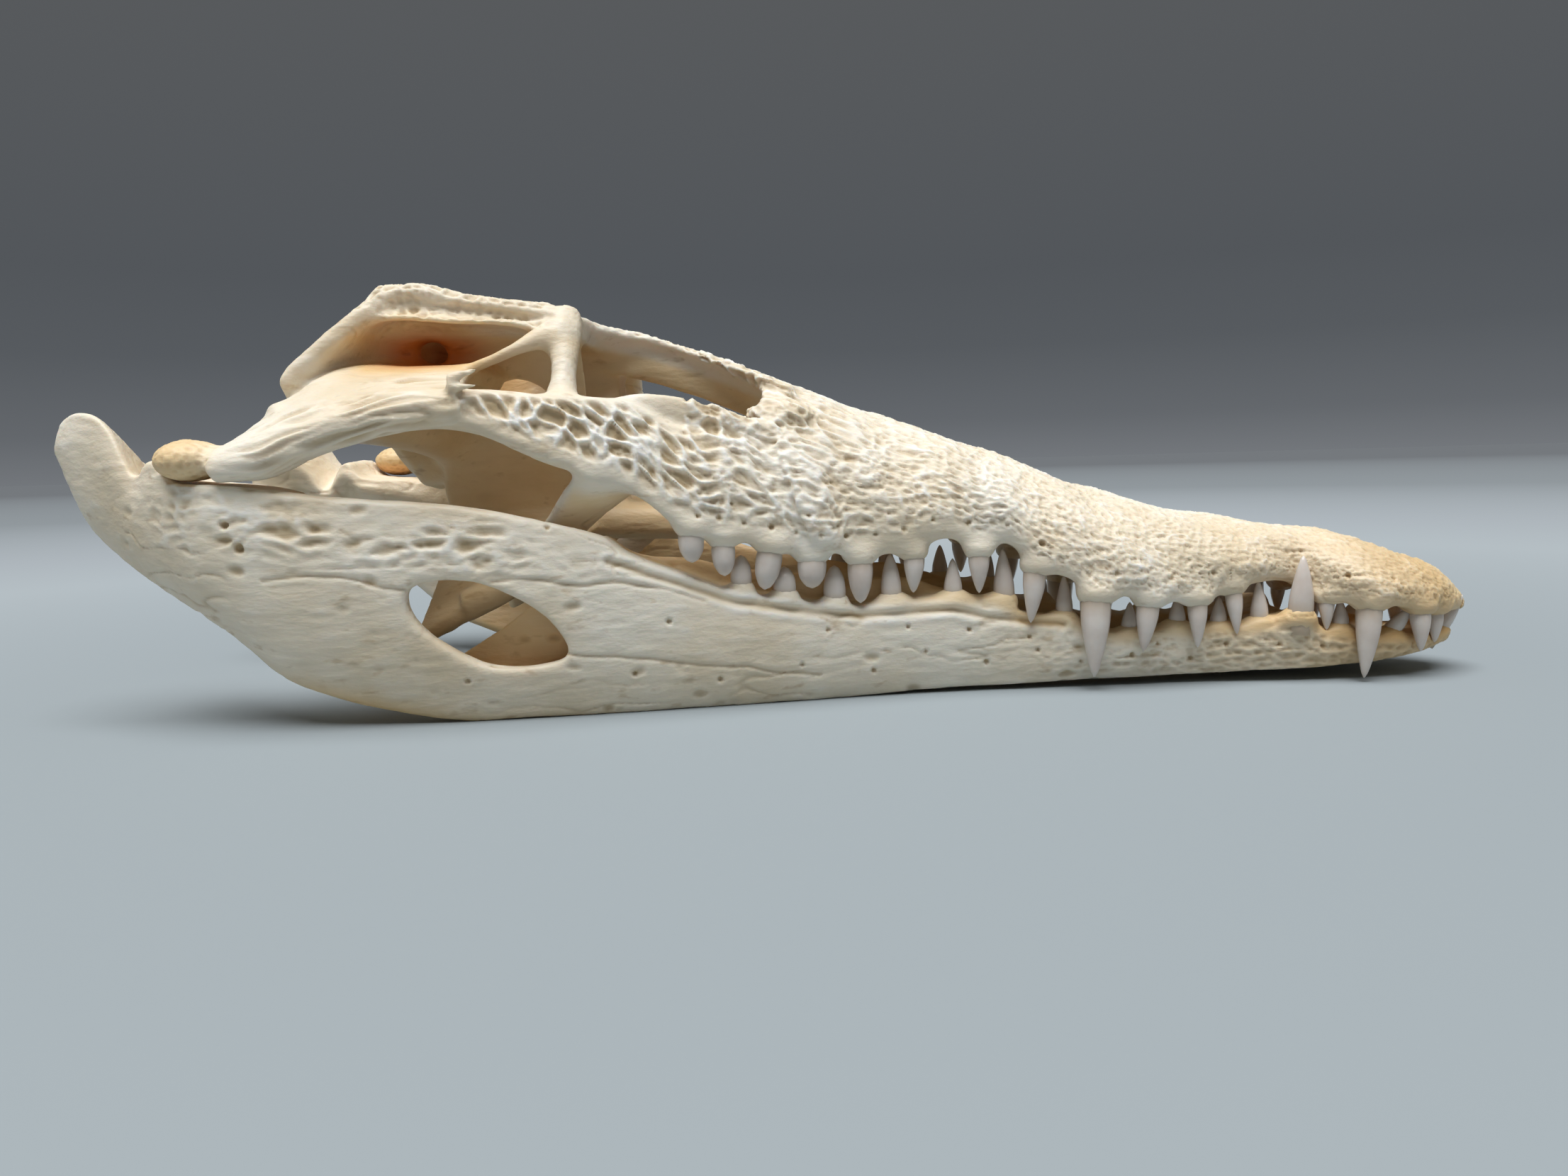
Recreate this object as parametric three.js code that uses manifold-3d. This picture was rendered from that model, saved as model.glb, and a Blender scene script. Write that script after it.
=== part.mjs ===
// The skull of a young crocodile, cranium and lower jaw closed on each other, lying on a flat surface.
// Millimetres. +X runs along the snout, +Y is the animal's left, +Z is up, and Z = 0 is the surface.
import * as THREE from "three";
import { ParametricGeometry } from "three/addons/geometries/ParametricGeometry.js";
import { mergeVertices } from "three/addons/utils/BufferGeometryUtils.js";
import Module from "manifold-3d";

const wasm = await Module();
wasm.setup();

// Driving sizes
const GAP = 0.3; // clearance left between neighbouring bones
const TIP = 165; // front end of the snout
const TOOTH_ROOT = 4; // how far each tooth is sunk into its jaw
const TOOTH_SIDES = 6;
const OVAL_SIDES = 12; // round the two openings in the skull table
const SNOUT_BACK = -22; // where the snout is parted from the back of the cranium
const SNOUT_SPLIT = 64; // where the front of the snout is parted from its rear
const JAW_BACK = -157.8; // rear end of the lower jaw
const JOINT = [-119.6, 54.8, 57.8]; // middle of the right or left jaw joint
const JOINT_SIZE = [7, 7.8, 4.4];
const RIPPLE = 0.45; // height of the long waves over the snout
const EDGE_ROUND = 0.35; // how far a sheet's edge is rounded out, as a share of its thickness
const FAR = 300; // reach of a cutting block
const SLIVER = 0.02; // triangles thinner than this are taken out
const PALATE_TOP = 46; // where the palate is parted from the braincase, at the midline
const RIGHT = -1;
const LEFT = 1;

// A smooth curve through [x, value] pairs that never overshoots them.
function curve(table) {
  const last = table.length - 1;
  const slope = (i) => (table[i + 1][1] - table[i][1]) / (table[i + 1][0] - table[i][0]);
  const tangent = table.map((pair, i) => {
    if (i === 0) return slope(0);
    if (i === last) return slope(last - 1);
    const before = slope(i - 1);
    const after = slope(i);
    return before * after <= 0 ? 0 : (2 * before * after) / (before + after);
  });
  return (x) => {
    if (x <= table[0][0]) return table[0][1];
    if (x >= table[last][0]) return table[last][1];
    const i = table.findIndex((pair) => pair[0] > x) - 1;
    const step = table[i + 1][0] - table[i][0];
    const t = (x - table[i][0]) / step;
    const start = (1 + 2 * t) * (1 - t) ** 2 * table[i][1] + t * (1 - t) ** 2 * step * tangent[i];
    const end = t * t * (3 - 2 * t) * table[i + 1][1] + t * t * (t - 1) * step * tangent[i + 1];
    return start + end;
  };
}

// Outline of the cranium along X: half width, top at the midline, and the edge the upper teeth grow from.
const craniumWidth = curve([
  [-130, 58], [-110, 61], [-100, 60.5], [-80, 58], [-60, 54.5], [-40, 50], [-20, 44.5], [0, 38], [20, 32],
  [40, 27.5], [55, 25.6], [72, 26.4], [90, 23.5], [108, 18.5], [121, 14.6], [127, 18], [133, 20.3],
  [140, 19.5], [148, 17], [155, 13], [160, 8.5], [163, 5], [TIP, 1.5],
]);
const craniumTop = curve([
  [-22, 82], [-14, 79.6], [-6, 76.6], [7, 71.5], [25, 64.6], [39, 59.8], [53, 54.6], [67, 48.9], [81, 44],
  [94, 40.5], [112, 37], [127, 35], [139, 31.8], [150, 28.4], [156, 25.4], [160, 22], [TIP, 16.6],
]);
const upperMargin = curve([
  [-26, 46.5], [-19, 40.7], [-7, 37.2], [5, 34.3], [17, 32.9], [27, 33], [39, 35.8], [47, 33], [52, 34.4],
  [59, 29], [68, 25.4], [74, 21.3], [81, 21.8], [86, 20.3], [98, 19.7], [105, 22.3], [117, 23.4],
  [127, 18.9], [139, 17.8], [146, 16.2], [155, 15.4], [TIP, 15],
]);

// Outline of one half of the lower jaw along X: outer face, upper edge, lower edge and the two thicknesses.
const jawOuter = curve([
  [JAW_BACK, 43.6], [-153, 46], [-145, 49], [-135, 53], [-125, 57], [-115, 60], [-100, 60], [-80, 57],
  [-60, 53], [-40, 48], [-20, 42], [0, 36], [20, 30], [40, 25.5], [60, 22.5], [80, 20], [100, 17.5],
  [121, 17.5], [130, 16.6], [140, 15.3], [150, 12], [157, 7.5], [161, 3],
]);
const jawTop = curve([
  [JAW_BACK, 61.5], [-156.8, 65], [-154.2, 67.9], [-149.5, 69.1], [-145.5, 68.4], [-142, 66.4], [-139.6, 63.6],
  [-137.4, 59.6], [-135.4, 56.2], [-133.6, 54.8], [-132, 56.2], [-130, 58], [-127.5, 58.2], [-125, 55],
  [-123, 53.6], [-112, 52.6], [-98, 50.8], [-84, 49], [-70, 47.7], [-56, 45.2], [-42, 41.6],
  [-36, 39.6], [-31, 35.6], [-19, 30.3], [-8, 25.6], [5, 23.1], [17, 21], [30, 22.6], [49, 22], [57, 18],
  [66, 16.8], [80, 12.6], [91, 13.5], [109, 13.6], [120, 15.6], [128, 12], [149, 10.1], [161, 10.6],
]);
const jawBottom = curve([
  [JAW_BACK, 59], [-157, 55], [-156, 51], [-153, 43.9], [-147, 38.6], [-139, 33.4], [-128, 27.4], [-116, 21], [-104, 10.9],
  [-95, 7], [-87, 4.4], [-75, 1.6], [-62, -0.2], [-30, -0.5], [10, -0.2], [33, 0.7], [63, 1.4],
  [100, 2.1], [132, 3.4], [150, 5.4], [161, 8.6],
]);
const jawHead = curve([
  [JAW_BACK, 8], [-153, 12], [-145, 14], [-135, 16], [-126, 22], [-118, 25], [-108, 21], [-98, 15.5],
  [-80, 14.5], [-60, 13.5], [-40, 12.5], [-20, 11.5], [0, 11], [80, 10.5], [95, 11.5], [105, 14.2], [112, 17.3],
]);
const jawBody = curve([
  [JAW_BACK, 8], [-150, 11], [-135, 12], [-100, 12.5], [-80, 13], [-40, 12], [0, 11], [80, 10.5], [95, 11.5],
  [105, 14.2], [112, 17.3],
]);
const jawInnerWall = curve([
  [-100, 34], [-93, 23], [-86, 15.5], [-79, 14], [-70, 17], [-60, 22], [-50, 28], [-42, 32.5], [-36, 37],
]);

// How much lower the inner edge of the jaw lies than the outer one, behind the joint
const jawLean = curve([[JAW_BACK, 1], [-150, 3], [-143, 6.5], [-137, 6.5], [-132, 1.5], [-127, 0]]);

// Teeth: X and distance from the midline at the base, height of the base, X, distance and height of the tip, radius.
const UPPER_TEETH = [
  [-17.1, 40.6, 40.4, -16.9, 40.8, 33, 2.6],
  [-10.5, 38.2, 37.6, -10.2, 38.4, 29.7, 2.4],
  [-0.2, 35, 36, -1.9, 35.4, 26.2, 2.7],
  [8.6, 32.4, 33.4, 8.6, 32.8, 26, 3],
  [19.3, 29.2, 32.4, 19.3, 29.6, 22.1, 2.8],
  [31.6, 26.2, 33, 31.3, 26.6, 23.9, 2.5],
  [46.3, 24, 33, 46.3, 24.6, 23.3, 2.6],
  [59.2, 23, 29, 58, 23.8, 16.1, 2.8],
  [72.7, 23.4, 22.6, 72.2, 24.6, 3.4, 3.7],
  [84.9, 21.9, 20.8, 83.6, 22.7, 8.8, 2.8],
  [96.5, 19.3, 20.4, 96.5, 20.1, 9.1, 2.4],
  [105.2, 16.9, 22.4, 106, 17.9, 11.7, 2.1],
  [126.8, 15.2, 20, 126.9, 15.9, 12, 2],
  [135.9, 17.2, 18.6, 134.6, 18.3, 1.1, 3.1],
  [148.5, 14, 16.8, 148.6, 15, 6.5, 2.5],
  [153.9, 9.6, 16, 154, 10, 7.7, 2.1],
  [158.8, 4.2, 15.6, 158, 4.2, 7, 1.8],
];
const LOWER_TEETH = [
  [-7, 34.6, 26.6, -7, 34.4, 33.9, 2.2],
  [2.4, 32, 24.4, 2.4, 31.8, 30.9, 2.4],
  [13.5, 28.6, 22.4, 13.5, 28.4, 30.6, 2.4],
  [26.4, 25, 22, 26.2, 24.6, 32.7, 2.4],
  [40.6, 22, 22, 40.6, 21.6, 31, 2.3],
  [52.5, 20.2, 21, 52.2, 19.8, 32.8, 2.6],
  [66.5, 18.4, 16.6, 66.5, 18, 26.2, 2.1],
  [81.6, 16.6, 12.2, 82, 16.2, 19.4, 2],
  [93, 15.2, 13.4, 93.2, 14.8, 20.6, 2.1],
  [102.7, 14.1, 12.4, 103.1, 13.7, 20, 2.1],
  [112.2, 14, 13.6, 112, 13.7, 23.5, 2.2],
  [120.6, 16.4, 15.2, 121.1, 16.6, 29.4, 3],
  [130.8, 13.6, 12, 130.8, 13.2, 18.9, 2],
  [142.6, 11.6, 10.4, 147.6, 12.6, 17, 2],
  [156.6, 5.2, 9.6, 162.2, 5.6, 18.2, 1.9],
];

// Outline of the opening in the outer wall of the lower jaw, as [x, z].
const JAW_WINDOW = [
  [-75, 29.5], [-71, 31.2], [-64, 31.2], [-57, 29], [-51, 25.4], [-46.5, 21], [-44, 16.6], [-44.6, 13.6],
  [-49, 12.3], [-55, 12], [-62, 13.3], [-68, 17.2], [-72.4, 21], [-75, 25.2],
];

// Closed solids from point grids

function solid(geometry) {
  const bare = geometry.clone();
  bare.deleteAttribute("normal");
  bare.deleteAttribute("uv");
  const merged = mergeVertices(bare, 1e-4);
  const corner = merged.index.array;
  const spot = merged.attributes.position;
  const [a, b, c] = [new THREE.Vector3(), new THREE.Vector3(), new THREE.Vector3()];
  const kept = [];
  let volume = 0;
  for (let i = 0; i < corner.length; i += 3) {
    const [p, q, r] = [corner[i], corner[i + 1], corner[i + 2]];
    if (p === q || q === r || r === p) continue;
    kept.push([p, q, r]);
    a.fromBufferAttribute(spot, p);
    b.fromBufferAttribute(spot, q);
    c.fromBufferAttribute(spot, r);
    volume += a.dot(b.cross(c));
  }
  const faces = volume < 0 ? kept.map(([p, q, r]) => [p, r, q]) : kept;
  const mesh = new wasm.Mesh({
    numProp: 3,
    vertProperties: spot.array,
    triVerts: new Uint32Array(faces.flat()),
  });
  return new wasm.Manifold(mesh);
}

// The skin through rows of points, each row a closed ring of equal length.
function skin(rows) {
  const around = rows[0].length;
  const along = rows.length - 1;
  const place = (u, v, target) => {
    const point = rows[Math.round(v * along)][Math.round(u * around) % around];
    target.set(point[0], point[1], point[2]);
  };
  return solid(new ParametricGeometry(place, around, along));
}

// A loft through rings, with both ends drawn to the middle of the end ring.
function loft(rings) {
  const drawn = (ring) => {
    const middle = [0, 1, 2].map((k) => ring.reduce((sum, p) => sum + p[k], 0) / ring.length);
    return ring.map(() => middle);
  };
  return skin([drawn(rings[0]), ...rings, drawn(rings[rings.length - 1])]);
}

// More stations between the given ones, on a smooth curve through every column.
function fine(list, steps) {
  const blend = (p, q, r, s, t) => p.map((value, k) => spline(value, q[k], r[k], s[k], t));
  const mirrored = (p, q) => p.map((value, k) => 2 * value - q[k]);
  const out = [];
  for (let i = 0; i + 1 < list.length; i += 1) {
    const before = i > 0 ? list[i - 1] : mirrored(list[i], list[i + 1]);
    const after = i + 2 < list.length ? list[i + 2] : mirrored(list[i + 1], list[i]);
    for (let j = 0; j < steps; j += 1) out.push(blend(before, list[i], list[i + 1], after, j / steps));
  }
  out.push(list[list.length - 1]);
  return out;
}

function spline(p, q, r, s, t) {
  const bend = (2 * p - 5 * q + 4 * r - s) * t + (3 * q - p - 3 * r + s) * t * t;
  return 0.5 * (2 * q + ((r - p) + bend) * t);
}

// A bar along stations of [x, y, z, half width, half height], with its height towards `up`.
function bar(stations, side, { steps = 3, sides = 10, power = 2, up = [0, 0, 1] } = {}) {
  const list = fine(stations, steps);
  const spot = list.map((p) => new THREE.Vector3(p[0], p[1] * side, p[2]));
  const rings = list.map((p, i) => {
    const ahead = spot[Math.min(i + 1, spot.length - 1)];
    const along = ahead.clone().sub(spot[Math.max(i - 1, 0)]).normalize();
    const across = along.clone().cross(new THREE.Vector3(up[0], up[1] * side, up[2])).normalize();
    const rise = across.clone().cross(along);
    return Array.from({ length: sides }, (unused, k) => {
      const turn = ((k + 0.5) / sides) * 2 * Math.PI;
      const [c, s] = [Math.cos(turn), Math.sin(turn)];
      const wide = Math.sign(c) * Math.abs(c) ** (2 / power) * p[3];
      const high = Math.sign(s) * Math.abs(s) ** (2 / power) * p[4];
      return spot[i].clone().addScaledVector(across, wide).addScaledVector(rise, high).toArray();
    });
  });
  return loft(rings);
}

const clamp = (i, count) => Math.max(0, Math.min(count - 1, i));

// A sheet through a grid of [x, y, z, thickness], its edges drawn thin and rounded.
function sheet(grid, side, across = 1, along = 2) {
  const cells = fineGrid(grid.map((row) => fine(row, across)), along);
  const point = (i, j) => {
    const cell = cells[clamp(i, cells.length)][clamp(j, cells[0].length)];
    return new THREE.Vector3(cell[0], cell[1] * side, cell[2]);
  };
  const rim = (i, j, outI, outJ) => {
    const reach = cells[i][j][3] * EDGE_ROUND;
    const spot = point(i, j);
    if (outI) spot.add(point(i, j).sub(point(i - outI, j)).setLength(reach));
    if (outJ) spot.add(point(i, j).sub(point(i, j - outJ)).setLength(reach));
    return spot.toArray();
  };
  const face = (i, j, way) => {
    const normal = point(i + 1, j).sub(point(i - 1, j)).cross(point(i, j + 1).sub(point(i, j - 1)));
    return point(i, j).addScaledVector(normal.normalize(), (way * cells[i][j][3]) / 2).toArray();
  };
  const columns = cells[0].map((unused, j) => j);
  const end = columns.length - 1;
  const ring = (i) => [
    rim(i, 0, 0, -1),
    ...columns.map((j) => face(i, j, 1)),
    rim(i, end, 0, 1),
    ...[...columns].reverse().map((j) => face(i, j, -1)),
  ];
  const closed = (i, out) => [
    rim(i, 0, out, -1),
    ...columns.map((j) => rim(i, j, out, 0)),
    rim(i, end, out, 1),
    ...[...columns].reverse().map((j) => rim(i, j, out, 0)),
  ];
  return skin([closed(0, -1), ...cells.map((unused, i) => ring(i)), closed(cells.length - 1, 1)]);
}

// More rows between the given rows of a grid.
function fineGrid(rows, steps) {
  const columns = rows[0].map((unused, j) => fine(rows.map((row) => row[j]), steps));
  return columns[0].map((unused, i) => columns.map((column) => column[i]));
}

function ball(centre, radii, side, around = 10, high = 7) {
  const geometry = new THREE.SphereGeometry(1, around, high);
  geometry.scale(...radii);
  geometry.translate(centre[0], centre[1] * side, centre[2]);
  return solid(geometry);
}

// A straight block between two outlines of equal length.
const block = (near, far) => loft([near, far]);
const join = (list) => list.reduce((sum, next) => sum.add(next));
const cut = (body, list) => list.reduce((rest, next) => rest.subtract(next), body);
const both = (make) => [make(RIGHT), make(LEFT)];

function largest(body) {
  return body.decompose().sort((a, b) => b.volume() - a.volume())[0];
}

// Evenly spaced stations from one X to another
function stations(from, to, step) {
  const count = Math.round(Math.abs(to - from) / step);
  return Array.from({ length: count + 1 }, (unused, i) => from + ((to - from) * i) / count);
}

// Cranium

// How square the arch of the snout is: 2 is an ellipse
const snoutPower = (x) => 2.3 - 0.2 * THREE.MathUtils.smoothstep(x, 45, 75);

// Long low waves that run aslant over the snout
function ripple(x, degrees) {
  const fade = THREE.MathUtils.smoothstep(x, 0, 20) * (1 - THREE.MathUtils.smoothstep(x, 135, 155));
  return RIPPLE * fade * Math.sin(2 * Math.PI * (x / 26 + degrees / 75));
}

// One cross-section of the snout: flat palate, a thick edge for the teeth, and an arched back.
function snoutRing(x) {
  const [wide, top, margin] = [craniumWidth(x), craniumTop(x), upperMargin(x)];
  const shrink = Math.min(1, wide / 14);
  const shoulder = margin + 3 * shrink;
  const power = snoutPower(x);
  const floor = [
    [0.0, margin + 3 * shrink],
    [wide * 0.5, margin + 3 * shrink],
    [wide - 6 * shrink, margin + 0.6 * shrink],
    [wide - 1.3 * shrink, margin + 0.3 * shrink],
  ];
  const arch = [4, 18, 34, 52, 71].map((degrees) => {
    const turn = THREE.MathUtils.degToRad(degrees);
    const swell = ripple(x, degrees);
    const out = wide * Math.cos(turn) ** (2 / power) + swell * Math.cos(turn);
    return [out, shoulder + (top - shoulder) * Math.sin(turn) ** (2 / power) + swell * Math.sin(turn)];
  });
  const half = [...floor, ...arch];
  const slope = THREE.MathUtils.smoothstep(-x, -22, 6) * 13; // the wall in front of the eye sockets leans back
  const point = ([y, z]) => [x + (slope * (top - z)) / (top - margin), y, z];
  const back = half.slice(1).map(([y, z]) => [-y, z]).reverse();
  return [...half, [0, top + ripple(x, 90)], ...back].map(point);
}

// Half the width of the snout's arch at a given height
function snoutSide(x, z) {
  const shoulder = upperMargin(x) + 3;
  const share = THREE.MathUtils.clamp((z - shoulder) / (craniumTop(x) - shoulder), 0, 1);
  return craniumWidth(x) * (1 - share ** snoutPower(x)) ** (1 / snoutPower(x));
}

function snoutBody() {
  const back = [-4, 2, 9, 17, 25, 33, 39, 43, 47, 52, 56, 60, 66, 70, 74, 79, 86, 93, 100, 107, 114];
  const front = [118, 121, 124, 128, 133, 138, 144, 150, 155, 159, 162, 164, TIP];
  return loft([...back, ...front].map(snoutRing));
}

// The nostril, one oval opening on top of the snout that narrows to a small hole in the palate
function nostril() {
  return [
    ball([146, 0, 33], [8.5, 7, 10.5], 1, 12, 8),
    bar([[146, 0, 34, 4, 4], [146, 0, 24, 3.2, 3.2], [147, 0, 6, 2.8, 2.8]], 1, { steps: 1, sides: 8, up: [1, 0, 0] }),
  ];
}

// The side wall under the eye socket, from the last upper teeth back to the jaw joint
const cheekTop = curve([
  [-112, 58.4], [-100, 62.3], [-84, 67.6], [-70, 71], [-60, 71.4], [-47, 69.9], [-31, 68.6], [-26, 66.6],
  [-20, 63], [-12, 61.6], [-2, 60], [12, 50],
]);
const CHEEK_FLOOR = 53.4; // lower edge of the cheek beside the jaw joint
const cheekBottom = curve([
  [-112, CHEEK_FLOOR], [-103, 53.8], [-91, 58.5], [-83, 60.8], [-69, 63.2], [-60, 61.7], [-47, 55.8], [-37, 51.9],
  [-27, 47.1], [-19, 40.7], [-7, 37.2], [5, 34.3], [17, 32.9],
]);
function cheekBar(side) {
  const ring = (x) => {
    const [wide, high, low] = [craniumWidth(x), cheekTop(x), cheekBottom(x)];
    const thick = x > -30 ? 7 : 5.6;
    const arched = THREE.MathUtils.smoothstep(x, -38, -12);
    const leanAt = (z) => arched * (wide - snoutSide(x, z)) + (1 - arched) * 0.14 * (z - low);
    const middle = low + 0.55 * (high - low);
    const lean = leanAt(high - 0.8);
    return [
      [wide - 1.2, low + 0.4],
      [wide, low + 2.5],
      [wide - leanAt(middle), middle],
      [wide - lean - 0.6, high - 0.8],
      [wide - lean - 0.75 * thick, high - 0.8],
      [wide - lean - 0.6 * thick - 1, low + 0.7 * (high - low)],
      [wide - thick, low + 1.5],
      [wide - 0.7 * thick, low],
    ].map(([y, z]) => [x, y * side, z]);
  };
  return loft(stations(-112, 12, 6).map(ring));
}

// The roof between the eye sockets, with raised rims and two keels below
function foreheadBar() {
  const half = curve([[-52, 33], [-47, 27], [-42, 17], [-36, 11.2], [-26, 9.4], [-18, 11], [-10, 15], [-3, 20], [6, 22]]);
  const edge = curve([[-52, 91], [-41, 88], [-32, 86.3], [-22, 83], [-15, 80.3], [-7, 76.9], [3, 72]]);
  const under = curve([[-52, 80], [-41, 77], [-33, 75.1], [-23, 71.7], [-16, 69], [-6, 64.5], [6, 60]]);
  const ring = (x) => {
    const [wide, rim, low] = [half(x), edge(x), under(x)];
    const points = [
      [wide * 0.5, rim - 0.9],
      [wide - 2.5, rim - 0.1],
      [wide - 0.4, rim - 0.6],
      [wide, rim - 2],
      [wide * 0.8, rim - 4],
      [7.5, low + 3.5],
      [6.2, low],
      [3.4, low + 1.5],
    ];
    const mirrored = points.map(([y, z]) => [-y, z]).reverse();
    return [[0, rim - 1.4], ...points, ...mirrored].map(([y, z]) => [x, y, z]);
  };
  return loft(stations(-50, 4, 6).map(ring));
}

// The flat table on top of the skull, with its two openings
function skullTable() {
  const half = curve([[-90, 36.5], [-80, 37.6], [-66, 36], [-52, 34], [-46, 31.5], [-43, 27]]);
  const top = curve([[-88, 95.2], [-81, 96], [-75, 95.3], [-67, 93.5], [-59, 92.4], [-50, 91], [-43, 88.6]]);
  const under = curve([[-88, 88.4], [-69, 87.2], [-60, 86], [-52, 84.4], [-43, 83]]);
  const ring = (x) => {
    const [wide, high, low] = [half(x), top(x), under(x)];
    const points = [
      [wide * 0.55, high - 1.3],
      [wide - 4, high - 0.2],
      [wide - 1, high - 0.9],
      [wide, high - 2.6],
      [wide - 1.6, low + 2.6],
      [wide - 0.2, low + 1],
      [wide - 2.4, low],
      [wide * 0.5, low - 0.5],
    ];
    const mirrored = points.map(([y, z]) => [-y, z]).reverse();
    const sweep = (y) => (8 * (y / 38) ** 2 - 11) * THREE.MathUtils.smoothstep(-x, 66, 88);
    return [[0, high - 1.6], ...points, ...mirrored, [0, low - 0.5]].map(([y, z]) => [x - sweep(y), y, z]);
  };
  return loft(stations(-89, -43, 5.75).map(ring));
}
function tableOpening(side) {
  const oval = (z, grow) =>
    Array.from({ length: OVAL_SIDES }, (unused, k) => {
      const turn = (k / OVAL_SIDES) * 2 * Math.PI;
      return [-64 + (7.6 + grow) * Math.cos(turn), side * (14.6 + (5.2 + grow) * Math.sin(turn)), z];
    });
  return loft([oval(72, -1), oval(86, 0), oval(100, 2)]);
}

// The box of bone round the brain, widest low down where it meets the palate
function braincase() {
  const wide = curve([[-92, 12], [-84, 17], [-78, 19], [-66, 17.5], [-54, 14.5], [-46, 10], [-38, 5.5]]);
  const ring = (x) => {
    const w = wide(x);
    const low = x < -80 ? 51 : 43;
    const roof = 86;
    const profile = [[0.3, 0], [0.72, 0.02], [0.78, 0.2], [0.98, 0.42], [1, 0.55], [0.7, 0.72], [0.62, 0.9], [0.7, 1]];
    const points = profile.map(([share, rise]) => [share * w, low + rise * (roof - low)]);
    const mirrored = points.map(([y, z]) => [-y, z]).reverse();
    return [...points, ...mirrored].map(([y, z]) => [x, y, z]);
  };
  return loft([-88, -84, -79, -72, -64, -56, -49, -43, -39].map(ring));
}

// The back wall, spreading to a wing on each side behind the ear
function backWall() {
  const half = [
    [[-81, 0, 93, 6], [-85, 0, 83, 6], [-87, 0, 73, 6], [-88, 0, 62, 6], [-87, 0, 52, 6]],
    [[-82, 13, 93.6, 6], [-86, 14, 84, 6], [-89, 15, 75, 6], [-90, 14, 66, 6], [-88, 12, 56, 6]],
    [[-83, 26, 94, 5], [-88, 27, 87, 5], [-92, 28, 80, 5], [-95, 27, 74, 5], [-94, 25, 68, 5]],
    [[-83, 35, 93, 4.5], [-89.5, 38, 86.8, 5], [-96, 39, 81, 5], [-101, 39, 75, 5], [-101, 36, 69.5, 5]],
    [[-82.5, 37, 91.4, 3.5], [-89.5, 40.5, 85.4, 3.6], [-98, 42.4, 79.4, 3.6], [-104, 43, 75, 3.6], [-103.6, 41, 70.6, 3.6]],
  ];
  return both((side) => sheet(half, side, 1, 1));
}

// The bone that hangs the lower jaw: a sloping sheet from the ear down to the joint
function quadrate(side) {
  const grid = [
    [[-63.5, 55.2, 67, 6], [-63.5, 50, 70.6, 4], [-65, 43, 73.6, 3.6], [-66, 34, 75.4, 4], [-64, 20, 75.5, 6]],
    [[-78, 57, 65, 6.5], [-79, 52, 69, 5], [-79, 45, 72.6, 5], [-79, 36, 75, 5], [-78, 18, 74, 8]],
    [[-91, 58.4, 61.4, 6.5], [-92, 54, 65.6, 6], [-92, 47, 70.2, 6], [-92, 39, 74.4, 6], [-88, 24, 75, 8]],
    [[-102, 59.8, 56.4, 6.5], [-102, 57, 59.8, 7], [-102, 51, 63.4, 7], [-101, 44, 67, 7], [-96, 34, 70.4, 6]],
    [[-112, 60.2, 55.8, 4.4], [-112, 58, 56.8, 5.6], [-112, 54, 57.4, 6.4], [-111, 49.5, 57.8, 6.6], [-108, 44, 59, 5]],
  ];
  return join([sheet(grid, side), ball(JOINT, JOINT_SIZE, side, 12, 8)]);
}

// The wall at the bottom of the ear's hollow, between the quadrate and the table
function earWall(side) {
  const grid = [
    [[-58, 15, 76, 4], [-59, 19, 82, 4], [-59, 25, 87.5, 4]],
    [[-74, 20, 75, 4], [-74, 23, 82, 4], [-74, 27, 89, 4]],
    [[-90, 26, 75, 4], [-90, 28, 83, 4], [-88, 31, 90, 4]],
  ];
  return sheet(grid, side, 1, 1);
}

// Under the quadrate, a strut that runs in to the braincase above the palate
function quadrateRoot(side) {
  return bar([[-104, 48, 64, 5, 5], [-94, 38, 66, 6, 5], [-84, 26, 66, 7, 7], [-76, 12, 64, 7, 9]], side, { steps: 1, sides: 8 });
}

function postorbitalBar(side) {
  const path = [
    [-46.5, 29.5, 87, 5, 4],
    [-44.8, 33, 83.6, 4.2, 3.4],
    [-44, 37, 78, 3, 2.8],
    [-43.6, 40, 72.6, 2.7, 2.9],
    [-43.6, 44.4, 66, 4.6, 3.4],
  ];
  return bar(path, side, { steps: 1, sides: 8, up: [0, 1, 0] });
}

// A knot of rough bone at the front corner of each eye socket
const browKnot = (side) => ball([1.5, 24.6, 64.6], [7.5, 5, 3.6], side);

// The round head that the neck turns on
const neckJoint = () => ball([-93, 0, 62.4], [4.6, 6, 4.4], 1);

// Palate

function palateBar() {
  const path = [[14, 0, 38.6, 12, 4], [2, 0, 39, 8.6, 4.4], [-14, 0, 39.6, 7.4, 4.6], [-30, 0, 40.4, 8, 4.6],
    [-44, 0, 41, 10, 4.6], [-56, 0, 41.6, 12, 4.2]];
  return bar(path, 1, { steps: 1, sides: 10, power: 2.8 });
}

function palateWing(side) {
  const grid = [
    [[-45, 2, 41, 6], [-46, 12, 39.6, 5], [-48, 22, 36.4, 4], [-51, 30, 32, 4]],
    [[-56, 2, 42, 7], [-58, 14, 39.6, 6], [-61, 25, 33, 4.4], [-63, 33, 25.4, 4.4]],
    [[-68, 2, 43, 7], [-69, 14, 40, 6], [-71, 26, 29.6, 4], [-73, 34.6, 20, 4.4]],
    [[-77, 2, 45, 6], [-77, 13, 41.4, 5], [-79, 26, 26.6, 3.2], [-81, 35, 15.6, 3.6]],
  ];
  return sheet(grid, side, 1, 1);
}

function palateStrut(side) {
  const path = [[-70, 34, 24, 3, 3], [-60, 33, 29, 4, 3.4], [-50, 34, 37, 5, 3], [-41, 38, 46, 6.5, 3], [-33, 43.6, 52, 8, 3]];
  return bar(path, side, { steps: 1, sides: 8, up: [0.3, 0, 1] });
}

// Lower jaw

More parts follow.
